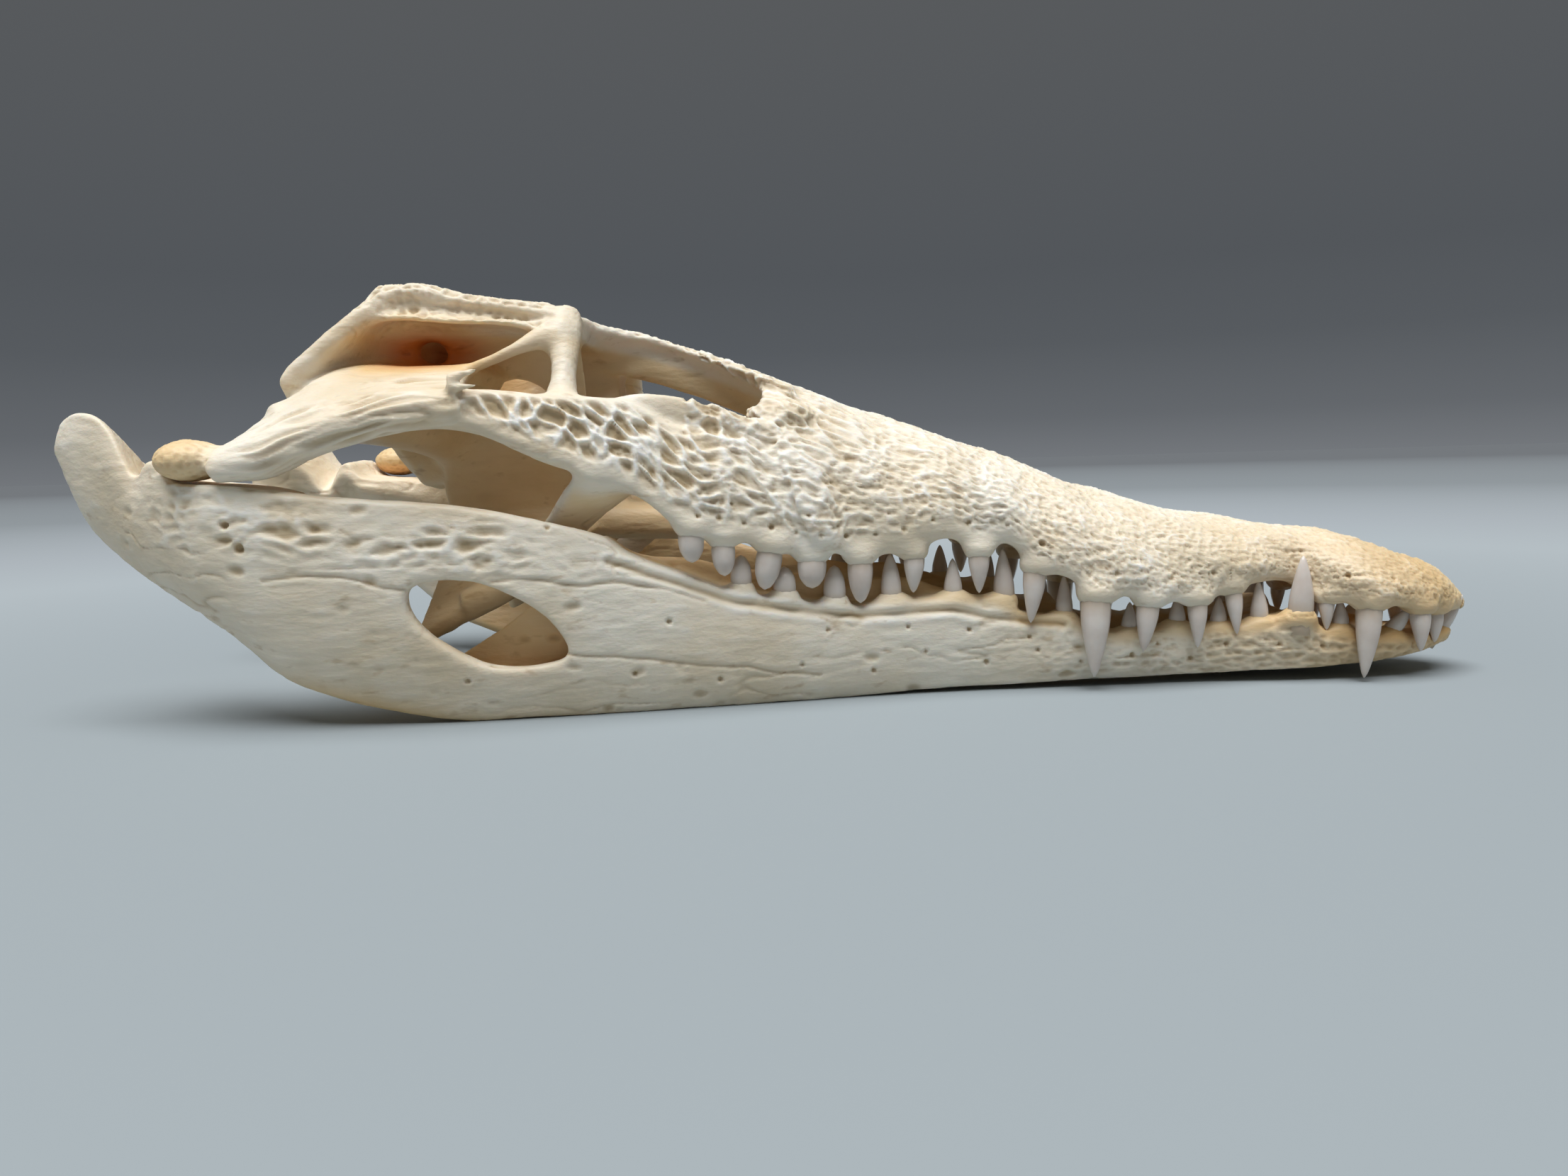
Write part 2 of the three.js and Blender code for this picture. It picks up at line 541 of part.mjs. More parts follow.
function jawRing(x, side) {
  const [wide, top, low, lean] = [jawOuter(x), jawTop(x), jawBottom(x), jawLean(x)];
  const high = top - low;
  const inside = Math.max(GAP / 2, wide - jawHead(x));
  const body = Math.max(GAP / 2, wide - jawBody(x));
  const keel = Math.max(0.87 * wide, wide - 8);
  const heel = Math.max(GAP / 2, Math.min(keel - 3, body + 2));
  const lip = Math.min(2.2, 0.3 * (wide - inside));
  return [
    [wide - lip, top],
    [wide - 0.35 * lip, top - 0.07 * high],
    [wide, top - 0.26 * high],
    [wide - 0.1 * (wide - keel), low + 0.46 * high],
    [wide - 0.35 * (wide - keel), low + 0.24 * high],
    [wide - 0.7 * (wide - keel), low + 0.08 * high],
    [keel, low],
    [heel, low + 0.02 * high],
    [body, low + 0.14 * high],
    [body, low + 0.4 * high],
    [0.6 * body + 0.4 * inside, low + 0.62 * (high - lean)],
    [inside, low + 0.84 * (high - lean)],
    [inside + 0.3 * lip, low + 0.95 * (high - lean)],
    [inside + lip, low + 0.99 * (high - lean)],
  ].map(([y, z]) => [x, y * side, z]);
}

function jawShell(side) {
  const hook = [JAW_BACK, -156.6, -154, -150, -146, -142.5, -140, -138, -135.6, -133.6, -131.4];
  const back = [...hook, -128, -124, -115, -106];
  const trough = [-98, -89, -80, -71, -62, -53, -44, -36.5, -31, -22];
  const front = [-12, 0, 12, 24, 36, 48, 53, 57.5, 66, 76, 88, 100, 110, 120, 128];
  const chin = [138, 146, 151.6, 156.4, 161];
  return loft([...back, ...trough, ...front, ...chin].map((x) => jawRing(x, side)));
}

// The hollow for the jaw muscle, open above, and the low inner wall beside it
function jawHollow(side) {
  const xs = stations(-97, -39, 7.25);
  const ring = (x, points) => points.map(([y, z]) => [x, y * side, z]);
  const cavity = xs.map((x) => {
    const [wide, top, low] = [jawOuter(x), jawTop(x), jawBottom(x)];
    const inner = wide - jawHead(x) + 3;
    const floor = low + 5.5;
    return ring(x, [
      [inner, floor],
      [wide - 9.4, floor],
      [wide - 6.4, low + 0.3 * (top - low)],
      [wide - 4.4, low + 0.6 * (top - low)],
      [wide - 6.4, top + 5],
      [inner, top + 5],
    ]);
  });
  const opening = stations(-99, -37, 6.2).map((x) => {
    const wide = jawOuter(x);
    const top = jawTop(x);
    return ring(x, [
      [wide - 30, jawInnerWall(x)],
      [wide - 8, jawInnerWall(x)],
      [wide - 6.8, top + 5],
      [wide - 30, top + 5],
    ]);
  });
  return [loft(cavity), loft(opening)];
}

function jawWindow(side) {
  const closedOutline = [...JAW_WINDOW, JAW_WINDOW[0]];
  const outline = fine(closedOutline, 2).slice(0, -1);
  const near = outline.map(([x, z]) => [x, side * (jawOuter(x) - 8.6), z]);
  const far = outline.map(([x, z]) => [x, side * 70, z]);
  return block(near, far);
}

// A tooth is a slightly swollen cone, flatter across than along; `grow` makes the clearance shape round it.
function tooth(entry, side, grow = 0) {
  const [x, y, z, tipX, tipY, tipZ, radius] = entry;
  const base = new THREE.Vector3(x, y, z);
  const tip = new THREE.Vector3(tipX, tipY, tipZ);
  const along = tip.clone().sub(base);
  const shape = [[-TOOTH_ROOT / along.length(), 0.9], [0.45, 0.82], [1, 0.14]];
  const path = shape.map(([share, size]) => {
    const spot = base.clone().addScaledVector(along, share + (share === 1 ? grow / along.length() : 0));
    return [...spot.toArray(), size * radius + grow, size * radius * 0.86 + grow];
  });
  return bar(path, side, { steps: 1, sides: TOOTH_SIDES, up: [0, 1, 0] });
}
const teeth = (table, side, grow) => table.map((entry) => tooth(entry, side, grow));

// Whole cranium, then its cuts

function wholeCranium() {
  const paired = (side) => [
    cheekBar(side), quadrate(side), quadrateRoot(side), postorbitalBar(side), browKnot(side),
    palateWing(side), palateStrut(side), earWall(side), ...teeth(UPPER_TEETH, side),
  ];
  const roof = cut(join([skullTable(), braincase()]), both(tableOpening));
  const body = cut(join([snoutBody(), foreheadBar()]), nostril());
  const inner = [roof, ...backWall(), neckJoint(), palateBar()];
  const clear = [RIGHT, LEFT].flatMap((side) => teeth(LOWER_TEETH, side, GAP));
  return cut(join([body, ...inner, ...both(paired).flat()]), clear);
}

// Everything behind one upright plane across the skull
function behindPlane(x) {
  const square = (at) => [[at, -FAR, -FAR], [at, FAR, -FAR], [at, FAR, FAR], [at, -FAR, FAR]];
  return block(square(x), square(-FAR));
}

// The outer strip of one cheek, back as far as the jaw joint
function cheekRegion(side, grow) {
  const line = [[SNOUT_BACK + 30, 30], [SNOUT_BACK, 36.3], [-45, 42.2], [-62, 46.6], [-90, 52], [-113, 56.5]];
  const inner = line.map(([x, y]) => [x - (x === -113 ? grow : 0), side * (y - grow)]);
  const outline = [...inner, [-113 - grow, side * 80], [-60, side * 80], [SNOUT_BACK + 30, side * 80]];
  return block(outline.map(([x, y]) => [x, y, 40]), outline.map(([x, y]) => [x, y, 84]));
}

// The palate, under a roof that rises towards the cheeks
function palateRegion(grow) {
  const roof = PALATE_TOP + grow;
  const outline = [[-50, 0], [-50, roof + 14], [-42, roof + 11], [-15, roof], [15, roof], [42, roof + 11], [50, roof + 14], [50, 0]];
  return block(outline.map(([y, z]) => [-4, y, z]), outline.map(([y, z]) => [-96, y, z]));
}

function lowerJaw(side) {
  const joint = ball(JOINT, JOINT_SIZE.map((radius) => radius + GAP), side, 12, 8);
  const box = (x, y, low, high) => {
    const base = [[x[0], y[0]], [x[1], y[0]], [x[1], y[1]], [x[0], y[1]]];
    return block(base.map((spot) => [...spot, low]), base.map((spot) => [...spot, high]));
  };
  const shelf = box([-118, -100], [40 * side, 70 * side], CHEEK_FLOOR - GAP, 70);
  const floor = box([-FAR, FAR], [-FAR, FAR], -FAR, 0);
  const middle = box([-FAR, FAR], [-FAR * side, (side * GAP) / 2], -FAR, FAR);
  const clear = teeth(UPPER_TEETH, side, GAP);
  const shell = cut(jawShell(side), [...jawHollow(side), jawWindow(side)]);
  return cut(join([shell, ...teeth(LOWER_TEETH, side)]), [...clear, joint, shelf, floor, middle]);
}

// Colours of clean, sun-bleached bone; the snout is a little yellower.
const BONE = { color: 0xeadfc6, roughness: 0.62, metalness: 0 };
const WARM_BONE = { color: 0xe6d5b0, roughness: 0.64, metalness: 0 };

// One named bone. A left one is the mirror image of the right solid that it is made from.
function mesh(name, body, look, side = RIGHT) {
  const data = largest(body).simplify(SLIVER).getMesh();
  if (side === LEFT) mirror(data);
  const geometry = new THREE.BufferGeometry();
  geometry.setAttribute("position", new THREE.BufferAttribute(data.vertProperties, 3));
  geometry.setIndex(new THREE.BufferAttribute(data.triVerts, 1));
  geometry.computeVertexNormals();
  const made = new THREE.Mesh(geometry, new THREE.MeshStandardMaterial(look));
  made.name = name;
  return made;
}

function mirror({ vertProperties, triVerts }) {
  for (let i = 1; i < vertProperties.length; i += 3) vertProperties[i] *= -1;
  for (let i = 0; i < triVerts.length; i += 3) {
    [triVerts[i], triVerts[i + 1]] = [triVerts[i + 1], triVerts[i]];
  }
}

const half = GAP / 2;
const rightCheek = (body) => body.intersect(cheekRegion(RIGHT, -half));
const whole = wholeCranium();
const behind = whole.intersect(behindPlane(SNOUT_BACK - half));
const ahead = whole.subtract(behindPlane(SNOUT_BACK + half));
const middlePart = cut(behind, both((side) => cheekRegion(side, half)));

const skull = new THREE.Group();
skull.add(
  mesh("snout", ahead.intersect(behindPlane(SNOUT_SPLIT - half)), WARM_BONE),
  mesh("snout_front", ahead.subtract(behindPlane(SNOUT_SPLIT + half)), WARM_BONE),
  mesh("braincase", middlePart.subtract(palateRegion(half)), BONE),
  mesh("palate", middlePart.intersect(palateRegion(-half)), BONE),
  mesh("cheek_right", rightCheek(behind), BONE),
  mesh("cheek_left", rightCheek(behind), BONE, LEFT),
  mesh("jaw_right", lowerJaw(RIGHT), BONE),
  mesh("jaw_left", lowerJaw(RIGHT), BONE, LEFT),
);

// The box of the whole skull is centred on the origin.
const box = new THREE.Box3().setFromObject(skull);
skull.position.x = -(box.min.x + box.max.x) / 2;

export default skull;
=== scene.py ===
# The dry skull of a young crocodile on a pale floor, modelled like clay from smooth lofts and then carved.
# Shapes are worked out in millimetres, with X = 0 at the camera's axis, and moved to the part's frame, in
# metres, at the end.
import math

import bpy
import numpy as np
import openvdb as vdb
from mathutils import Matrix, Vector
from numpy.linalg import norm


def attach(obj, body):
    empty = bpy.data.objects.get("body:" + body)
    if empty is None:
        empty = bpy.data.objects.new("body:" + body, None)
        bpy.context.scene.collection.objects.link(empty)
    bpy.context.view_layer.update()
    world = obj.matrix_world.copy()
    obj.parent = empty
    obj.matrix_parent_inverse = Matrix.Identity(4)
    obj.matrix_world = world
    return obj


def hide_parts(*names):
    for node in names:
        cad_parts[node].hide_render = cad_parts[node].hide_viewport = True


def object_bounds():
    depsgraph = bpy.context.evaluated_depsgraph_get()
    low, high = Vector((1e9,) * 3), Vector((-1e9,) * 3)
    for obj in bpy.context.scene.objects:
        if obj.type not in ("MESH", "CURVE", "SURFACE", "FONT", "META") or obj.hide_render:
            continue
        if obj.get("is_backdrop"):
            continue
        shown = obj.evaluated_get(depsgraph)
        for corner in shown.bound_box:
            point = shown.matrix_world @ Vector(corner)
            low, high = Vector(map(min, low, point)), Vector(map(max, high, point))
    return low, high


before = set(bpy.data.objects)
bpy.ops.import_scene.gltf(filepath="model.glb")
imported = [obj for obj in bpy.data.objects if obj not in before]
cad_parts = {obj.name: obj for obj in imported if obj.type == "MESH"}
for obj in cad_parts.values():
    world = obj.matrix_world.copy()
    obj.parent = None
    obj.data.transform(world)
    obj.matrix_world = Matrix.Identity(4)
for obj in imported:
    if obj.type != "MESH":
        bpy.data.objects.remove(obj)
cad_low, cad_high = (np.array(corner, float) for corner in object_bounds())

# Driving sizes
GRAIN = 0.45  # voxel size of the bone, mm
BAND = 4.0  # how far from the surface the volume still measures, mm
GAP = 0.3  # clearance between bones, mm
TIP = 165.0  # front end of the snout
JAW_BACK = -157.8  # rear end of the lower jaw
SHIFT = -(TIP + JAW_BACK) / 2  # from the measuring frame to the part's frame along X, mm
RIPPLE = 0.45  # height of the long waves over the snout, mm
ROOT_DEPTH = 4.0  # how far a tooth goes on below its base, mm
RIGHT, LEFT = -1, 1
MM = 0.001
INSET = 0.00002  # metres kept clear inside the box of the solid model
FAINT = 0.02  # carving weaker than this is left out


def curve(*table):
    """A smooth curve through (x, value) pairs that never overshoots them."""
    x, y = np.array(table, float).T
    slope = np.diff(y) / np.diff(x)
    before, after = slope[:-1], slope[1:]
    total = before + after
    safe = np.where(np.abs(total) < 1e-12, 1, total)
    inner = np.where(before * after <= 0, 0, 2 * before * after / safe)
    tangent = np.concatenate([slope[:1], inner, slope[-1:]])

    def value(at):
        at = np.clip(at, x[0], x[-1])
        i = np.clip(np.searchsorted(x, at, side="right") - 1, 0, len(x) - 2)
        step = x[i + 1] - x[i]
        t = (at - x[i]) / step
        start = (1 + 2 * t) * (1 - t) ** 2 * y[i] + t * (1 - t) ** 2 * step * tangent[i]
        end = t * t * (3 - 2 * t) * y[i + 1] + t * t * (t - 1) * step * tangent[i + 1]
        return start + end

    return value


def ease(value, low, high):
    """0 below low, 1 above high and a soft rise between them."""
    t = np.clip((value - low) / (high - low), 0, 1)
    return t * t * (3 - 2 * t)


# Outline of the cranium along X
cranium_width = curve(
    (-130, 58), (-110, 61), (-100, 60.5), (-80, 58), (-60, 54.5), (-40, 50), (-20, 44.5), (0, 38), (20, 32),
    (40, 27.5), (55, 25.6), (72, 26.4), (90, 23.5), (108, 18.5), (121, 14.6), (127, 18), (133, 20.3),
    (140, 19.5), (148, 17), (155, 13), (160, 8.5), (163, 5), (TIP, 1.5))
cranium_top = curve(
    (-22, 82), (-14, 79.6), (-6, 76.6), (7, 71.5), (25, 64.6), (39, 59.8), (53, 54.6), (67, 48.9), (81, 44),
    (94, 40.5), (112, 37), (127, 35), (139, 31.8), (150, 28.4), (156, 25.4), (160, 22), (TIP, 16.6))
upper_margin = curve(
    (-26, 46.5), (-19, 40.7), (-7, 37.2), (5, 34.3), (17, 32.9), (27, 33), (39, 35.8), (47, 33), (52, 34.4),
    (59, 29), (68, 25.4), (74, 21.3), (81, 21.8), (86, 20.3), (98, 19.7), (105, 22.3), (117, 23.4),
    (127, 18.9), (139, 17.8), (146, 16.2), (155, 15.4), (TIP, 15))
cheek_top = curve(
    (-112, 58.4), (-100, 62.3), (-84, 67.6), (-70, 71), (-60, 71.4), (-47, 69.9), (-31, 68.6), (-26, 66.6),
    (-20, 63), (-12, 61.6), (-2, 60), (12, 50))
cheek_bottom = curve(
    (-112, 53.4), (-103, 53.8), (-91, 58.5), (-83, 60.8), (-69, 63.2), (-60, 61.7), (-47, 55.8), (-37, 51.9),
    (-27, 47.1), (-19, 40.7), (-7, 37.2), (5, 34.3), (17, 32.9))

# Outline of one half of the lower jaw along X
jaw_outer = curve(
    (JAW_BACK, 43.6), (-153, 46), (-145, 49), (-135, 53), (-125, 57), (-115, 60), (-100, 60), (-80, 57),
    (-60, 53), (-40, 48), (-20, 42), (0, 36), (20, 30), (40, 25.5), (60, 22.5), (80, 20), (100, 17.5),
    (121, 17.5), (130, 16.6), (140, 15.3), (150, 12), (157, 7.5), (161, 3))
jaw_top = curve(
    (JAW_BACK, 61.5), (-156.8, 65), (-154.2, 67.9), (-149.5, 69.1), (-145.5, 68.4), (-142, 66.4),
    (-139.6, 63.6), (-137.4, 59.6), (-135.4, 56.2), (-133.6, 54.8), (-132, 56.2), (-130, 58),
    (-127.5, 58.2), (-125, 55), (-123, 53.6), (-112, 52.6), (-98, 50.8), (-84, 49), (-70, 47.7),
    (-56, 45.2), (-42, 41.6), (-36, 39.6), (-31, 35.6), (-19, 30.3), (-8, 25.6), (5, 23.1), (17, 21),
    (30, 22.6), (49, 22), (57, 18), (66, 16.8), (80, 12.6), (91, 13.5), (109, 13.6), (120, 15.6),
    (128, 12), (149, 10.1), (161, 10.6))
jaw_bottom = curve(
    (JAW_BACK, 59), (-157, 55), (-156, 51), (-153, 43.9), (-147, 38.6), (-139, 33.4), (-128, 27.4),
    (-116, 21), (-104, 10.9), (-95, 7), (-87, 4.4), (-75, 1.6), (-62, -0.2), (-30, -0.5), (10, -0.2),
    (33, 0.7), (63, 1.4), (100, 2.1), (132, 3.4), (150, 5.4), (161, 8.6))
jaw_head = curve(
    (JAW_BACK, 8), (-153, 12), (-145, 14), (-135, 16), (-126, 22), (-118, 25), (-108, 21), (-98, 15.5),
    (-80, 14.5), (-60, 13.5), (-40, 12.5), (-20, 11.5), (0, 11), (80, 10.5), (95, 11.5), (105, 14.2),
    (112, 17.3))
jaw_body = curve(
    (JAW_BACK, 8), (-150, 11), (-135, 12), (-100, 12.5), (-80, 13), (-40, 12), (0, 11), (80, 10.5),
    (95, 11.5), (105, 14.2), (112, 17.3))
rim_rise = curve((-32, -2), (-20, 3), (0, 5.6), (14, 6), (26, 5), (44, -1))
jaw_inner_wall = curve(
    (-100, 34), (-93, 23), (-86, 15.5), (-79, 14), (-70, 17), (-60, 22), (-50, 28), (-42, 32.5), (-36, 37))

# How much lower the inner edge of the jaw lies than the outer one, behind the joint
jaw_lean = curve((JAW_BACK, 1), (-150, 3), (-143, 6.5), (-137, 6.5), (-132, 1.5), (-127, 0))

# Teeth: X, distance from the midline and height of the base, the same for the tip, and the radius
UPPER_TEETH = [
    (-17.1, 40.6, 40.4, -16.9, 40.8, 33, 2.6), (-10.5, 38.2, 37.6, -10.2, 38.4, 29.7, 2.4),
    (-0.2, 35, 36, -1.9, 35.4, 26.2, 2.7), (8.6, 32.4, 33.4, 8.6, 32.8, 26, 3),
    (19.3, 29.2, 32.4, 19.3, 29.6, 22.1, 2.8), (31.6, 26.2, 33, 31.3, 26.6, 23.9, 2.5),
    (46.3, 24, 33, 46.3, 24.6, 23.3, 2.6), (59.2, 23, 29, 58, 23.8, 16.1, 2.8),
    (72.7, 23.4, 22.6, 72.2, 24.6, 3.4, 3.7), (84.9, 21.9, 20.8, 83.6, 22.7, 8.8, 2.8),
    (96.5, 19.3, 20.4, 96.5, 20.1, 9.1, 2.4), (105.2, 16.9, 22.4, 106, 17.9, 11.7, 2.1),
    (126.8, 15.2, 20, 126.9, 15.9, 12, 2), (135.9, 17.2, 18.6, 134.6, 18.3, 1.1, 3.1),
    (148.5, 14, 16.8, 148.6, 15, 6.5, 2.5), (153.9, 9.6, 16, 154, 10, 7.7, 2.1),
    (158.8, 4.2, 15.6, 158, 4.2, 7, 1.8),
]
LOWER_TEETH = [
    (-7, 34.6, 26.6, -7, 34.4, 33.9, 2.2), (2.4, 32, 24.4, 2.4, 31.8, 30.9, 2.4),
    (13.5, 28.6, 22.4, 13.5, 28.4, 30.6, 2.4), (26.4, 25, 22, 26.2, 24.6, 32.7, 2.4),
    (40.6, 22, 22, 40.6, 21.6, 31, 2.3), (52.5, 20.2, 21, 52.2, 19.8, 32.8, 2.6),
    (66.5, 18.4, 16.6, 66.5, 18, 26.2, 2.1), (81.6, 16.6, 12.2, 82, 16.2, 19.4, 2),
    (93, 15.2, 13.4, 93.2, 14.8, 20.6, 2.1), (102.7, 14.1, 12.4, 103.1, 13.7, 20, 2.1),
    (112.2, 14, 13.6, 112, 13.7, 23.5, 2.2), (120.6, 16.4, 15.2, 121.1, 16.6, 29.4, 3),
    (130.8, 13.6, 12, 130.8, 13.2, 18.9, 2), (142.6, 11.6, 10.4, 147.6, 12.6, 17, 2),
    (156.6, 5.2, 9.6, 162.2, 5.6, 18.2, 1.9),
]
SOCKET = np.array([1.1, 0.95, 0.8])  # swelling around a tooth, as a multiple of its radius
JAW_WINDOW = [
    (-75, 29.5), (-71, 31.2), (-64, 31.2), (-57, 29), (-51, 25.4), (-46.5, 21), (-44, 16.6), (-44.6, 13.6),
    (-49, 12.3), (-55, 12), (-62, 13.3), (-68, 17.2), (-72.4, 21), (-75, 25.2)]


# Closed skins from rows of points. Everything is made for the right side, Y below zero, and mirrored later.

def turns(count):
    """Angles spread evenly around a circle."""
    return np.arange(count) / count * 2 * np.pi


def unit(vectors):
    return vectors / norm(vectors, axis=-1, keepdims=True)


def finer(rows, steps, closed=False):
    """Points between the rows, on a smooth curve through each column."""
    rows = np.asarray(rows, float)
    if closed:
        padded = np.concatenate([rows[-1:], rows, rows[:2]])
    else:
        padded = np.concatenate([2 * rows[:1] - rows[1:2], rows, 2 * rows[-1:] - rows[-2:-1]])
    p, q, r, s = padded[:-3], padded[1:-2], padded[2:-1], padded[3:]
    out = []
    for t in np.arange(steps) / steps:
        square = (2 * p - 5 * q + 4 * r - s) * t * t
        cube = (3 * q - p - 3 * r + s) * t ** 3
        out.append(0.5 * (2 * q + (r - p) * t + square + cube))
    mixed = np.stack(out, 1).reshape((-1,) + rows.shape[1:])
    return mixed if closed else np.concatenate([mixed, rows[-1:]])


def skin(rows):
    """Vertices and quads of a closed skin through equal rings."""
    rows = np.asarray(rows, np.float32)
    count, around = rows.shape[:2]
    index = np.arange(count * around).reshape(count, around)
    low, high = index[:-1], index[1:]
    quads = np.stack([low, np.roll(low, -1, 1), np.roll(high, -1, 1), high], -1).reshape(-1, 4)
    return rows.reshape(-1, 3), quads.astype(np.uint32)


def loft(rings):
    rings = np.asarray(rings, float)
    first = np.broadcast_to(rings[0].mean(0), rings[0].shape)
    last = np.broadcast_to(rings[-1].mean(0), rings[-1].shape)
    return skin(np.concatenate([[first], rings, [last]]))


def sections(ring, first, last, step=1.6, smooth=3):
    """A loft along X through the sections that ring(x) gives as (x, y, z) rows."""
    count = int(abs(last - first) / step) + 1
    rings = [finer(ring(x), smooth, closed=True) for x in np.linspace(first, last, count)]
    return loft(rings)


def bar(stations, steps=6, sides=20, power=2.0, up=(0, 0, 1)):
    """A bar along (x, y, z, half width, half height) stations, its height towards up."""
    rows = finer(np.array(stations, float) * [1, -1, 1, 1, 1], steps)
    spot = rows[:, :3]
    along = unit(np.gradient(spot, axis=0))
    across = unit(np.cross(along, np.array(up, float) * [1, -1, 1]))
    rise = np.cross(across, along)
    turn = turns(sides)
    c, s = np.cos(turn), np.sin(turn)
    wide = np.sign(c) * np.abs(c) ** (2 / power)
    high = np.sign(s) * np.abs(s) ** (2 / power)
    rings = (spot[:, None] + across[:, None] * (rows[:, 3:4] * wide)[..., None]
             + rise[:, None] * (rows[:, 4:5] * high)[..., None])
    return loft(rings)


def sheet(grid, steps=5):
    """A sheet through a grid of (x, y, z, thickness), with rounded edges."""
    places = finer(np.array(grid, float) * [1, -1, 1, 1], steps)
    places = finer(places.transpose(1, 0, 2), steps).transpose(1, 0, 2)
    spot, thick = places[..., :3], places[..., 3:4]
    normal = unit(np.cross(np.gradient(spot, axis=0), np.gradient(spot, axis=1)))
    top, bottom = spot + normal * thick / 2, spot - normal * thick / 2

    def pushed(inner, outer, reach):
        return outer + unit(outer - inner) * reach * 0.35

    left = pushed(spot[:, 1], spot[:, 0], thick[:, 0])
    right = pushed(spot[:, -2], spot[:, -1], thick[:, -1])
    rings = np.concatenate([left[:, None], top, right[:, None], bottom[:, ::-1]], 1)
    ends = []
    for inner, outer in ((1, 0), (-2, -1)):
        line = pushed(spot[inner], spot[outer], thick[outer])
        ends.append(np.concatenate([left[outer][None], line, right[outer][None], line[::-1]]))
    return skin(np.concatenate([[ends[0]], rings, [ends[1]]]))


def ball(centre, radii, around=28, high=18):
    turn = turns(around)
    rise = np.linspace(0, np.pi, high + 1)[:, None]
    unit = np.stack([np.cos(turn) * np.sin(rise), np.sin(turn) * np.sin(rise), np.cos(rise) + 0 * turn], -1)
    return skin(unit * radii + np.array(centre) * [1, -1, 1])


class Clay:
    """A block of space that measures the distance to the bone's surface, in millimetres."""

    def __init__(self, low, high):
        self.low = np.floor(np.array(low) / GRAIN).astype(int)
        size = np.ceil(np.array(high) / GRAIN).astype(int) - self.low + 1
        self.field = np.full(size, BAND, np.float32)

    def stamp(self, shape):
        points, quads = shape
        start = np.maximum(np.floor((points.min(0) - BAND) / GRAIN).astype(int), self.low)
        stop = np.minimum(np.ceil((points.max(0) + BAND) / GRAIN).astype(int), self.low + self.field.shape)
        part = vdb.FloatGrid.createLevelSetFromPolygons(
            np.ascontiguousarray(points, np.float32), quads=quads,
            transform=vdb.createLinearTransform(voxelSize=GRAIN), halfWidth=BAND / GRAIN)
        other = np.empty(stop - start, np.float32)
        part.copyToArray(other, ijk=tuple(start.tolist()))
        place = tuple(slice(a, b) for a, b in zip(start - self.low, stop - self.low))
        return place, other

    def add(self, *shapes, blend=1.6, sign=1):
        for shape in shapes:
            place, other = self.stamp(shape)
            self.field[place] = sign * soft_min(sign * self.field[place], other, blend)

    def cut(self, *shapes, blend=1.0):
        self.add(*shapes, blend=blend, sign=-1)

    def soften(self, times):
        """Rounds the edges a little: one pass of a narrow blur along each axis."""
        for _ in range(times):
            for axis in range(3):
                field = np.moveaxis(self.field, axis, 0)
                middle = field[1:-1] * 0.5 + (field[:-2] + field[2:]) * 0.25
                field[1:-1] = middle

    def grow_sockets(self, teeth):
        """Swells the bone around the base of each tooth."""
        for entry in teeth:
            self.add(ball(entry[:3], SOCKET * (entry[6] + 0.4)), blend=3.0)

    def clear_teeth(self, teeth):
        """Makes room for the teeth of the other jaw."""
        for entry in teeth:
            self.cut(loft(tooth_points(entry, grow=GAP)), blend=0.4)

    def mirrored(self):
        """The whole block, from a right half whose last layer lies on the midline."""
        whole = Clay.__new__(Clay)
        whole.low = self.low.copy()
        whole.field = np.concatenate([self.field, self.field[:, -2::-1]], 1)
        return whole

    def skin(self):
        grid = vdb.FloatGrid(BAND)
        grid.copyFromArray(self.field, ijk=tuple(self.low.tolist()))
        grid.transform = vdb.createLinearTransform(voxelSize=GRAIN)
        points, quads = grid.convertToQuads(isovalue=0.0)
        return points.astype(np.float32), quads.astype(np.int64)

    def sample(self, points):
        """The distance field at any points, from the nearest voxel."""
        index = np.rint(points / GRAIN).astype(int) - self.low
        index = np.clip(index, 0, np.array(self.field.shape) - 1)
        return self.field[index[:, 0], index[:, 1], index[:, 2]]


def soft_min(a, b, blend):
    """The smaller of two distances with a rounded crossing, only near the surface."""
    h = np.clip(0.5 + 0.5 * (b - a) / blend, 0, 1)
    least = b + (a - b) * h
    near = np.clip(2 - np.abs(least) * 2 / BAND, 0, 1)
    return least - blend * h * (1 - h) * near


def right_side(x, half):
    """A ring across X through pairs of distance from the midline and height."""
    return np.array([(x, -y, z) for y, z in half])


# Shapes of the cranium

def snout_power(x):
    """How square the arch of the snout is: 2 is an ellipse."""
    return 2.3 - 0.2 * ease(x, 45, 75)


def ripple(x, degrees):
    """Long low waves that run aslant over the snout."""
    fade = ease(x, 0, 20) * (1 - ease(x, 135, 155))
    return RIPPLE * fade * np.sin(2 * np.pi * (x / 26 + degrees / 75))


def snout_side(x, z):
    """Half the width of the snout's arch at a given height."""
    shoulder = upper_margin(x) + 3
    share = np.clip((z - shoulder) / (cranium_top(x) - shoulder), 0, 1)
    return cranium_width(x) * (1 - share ** snout_power(x)) ** (1 / snout_power(x))


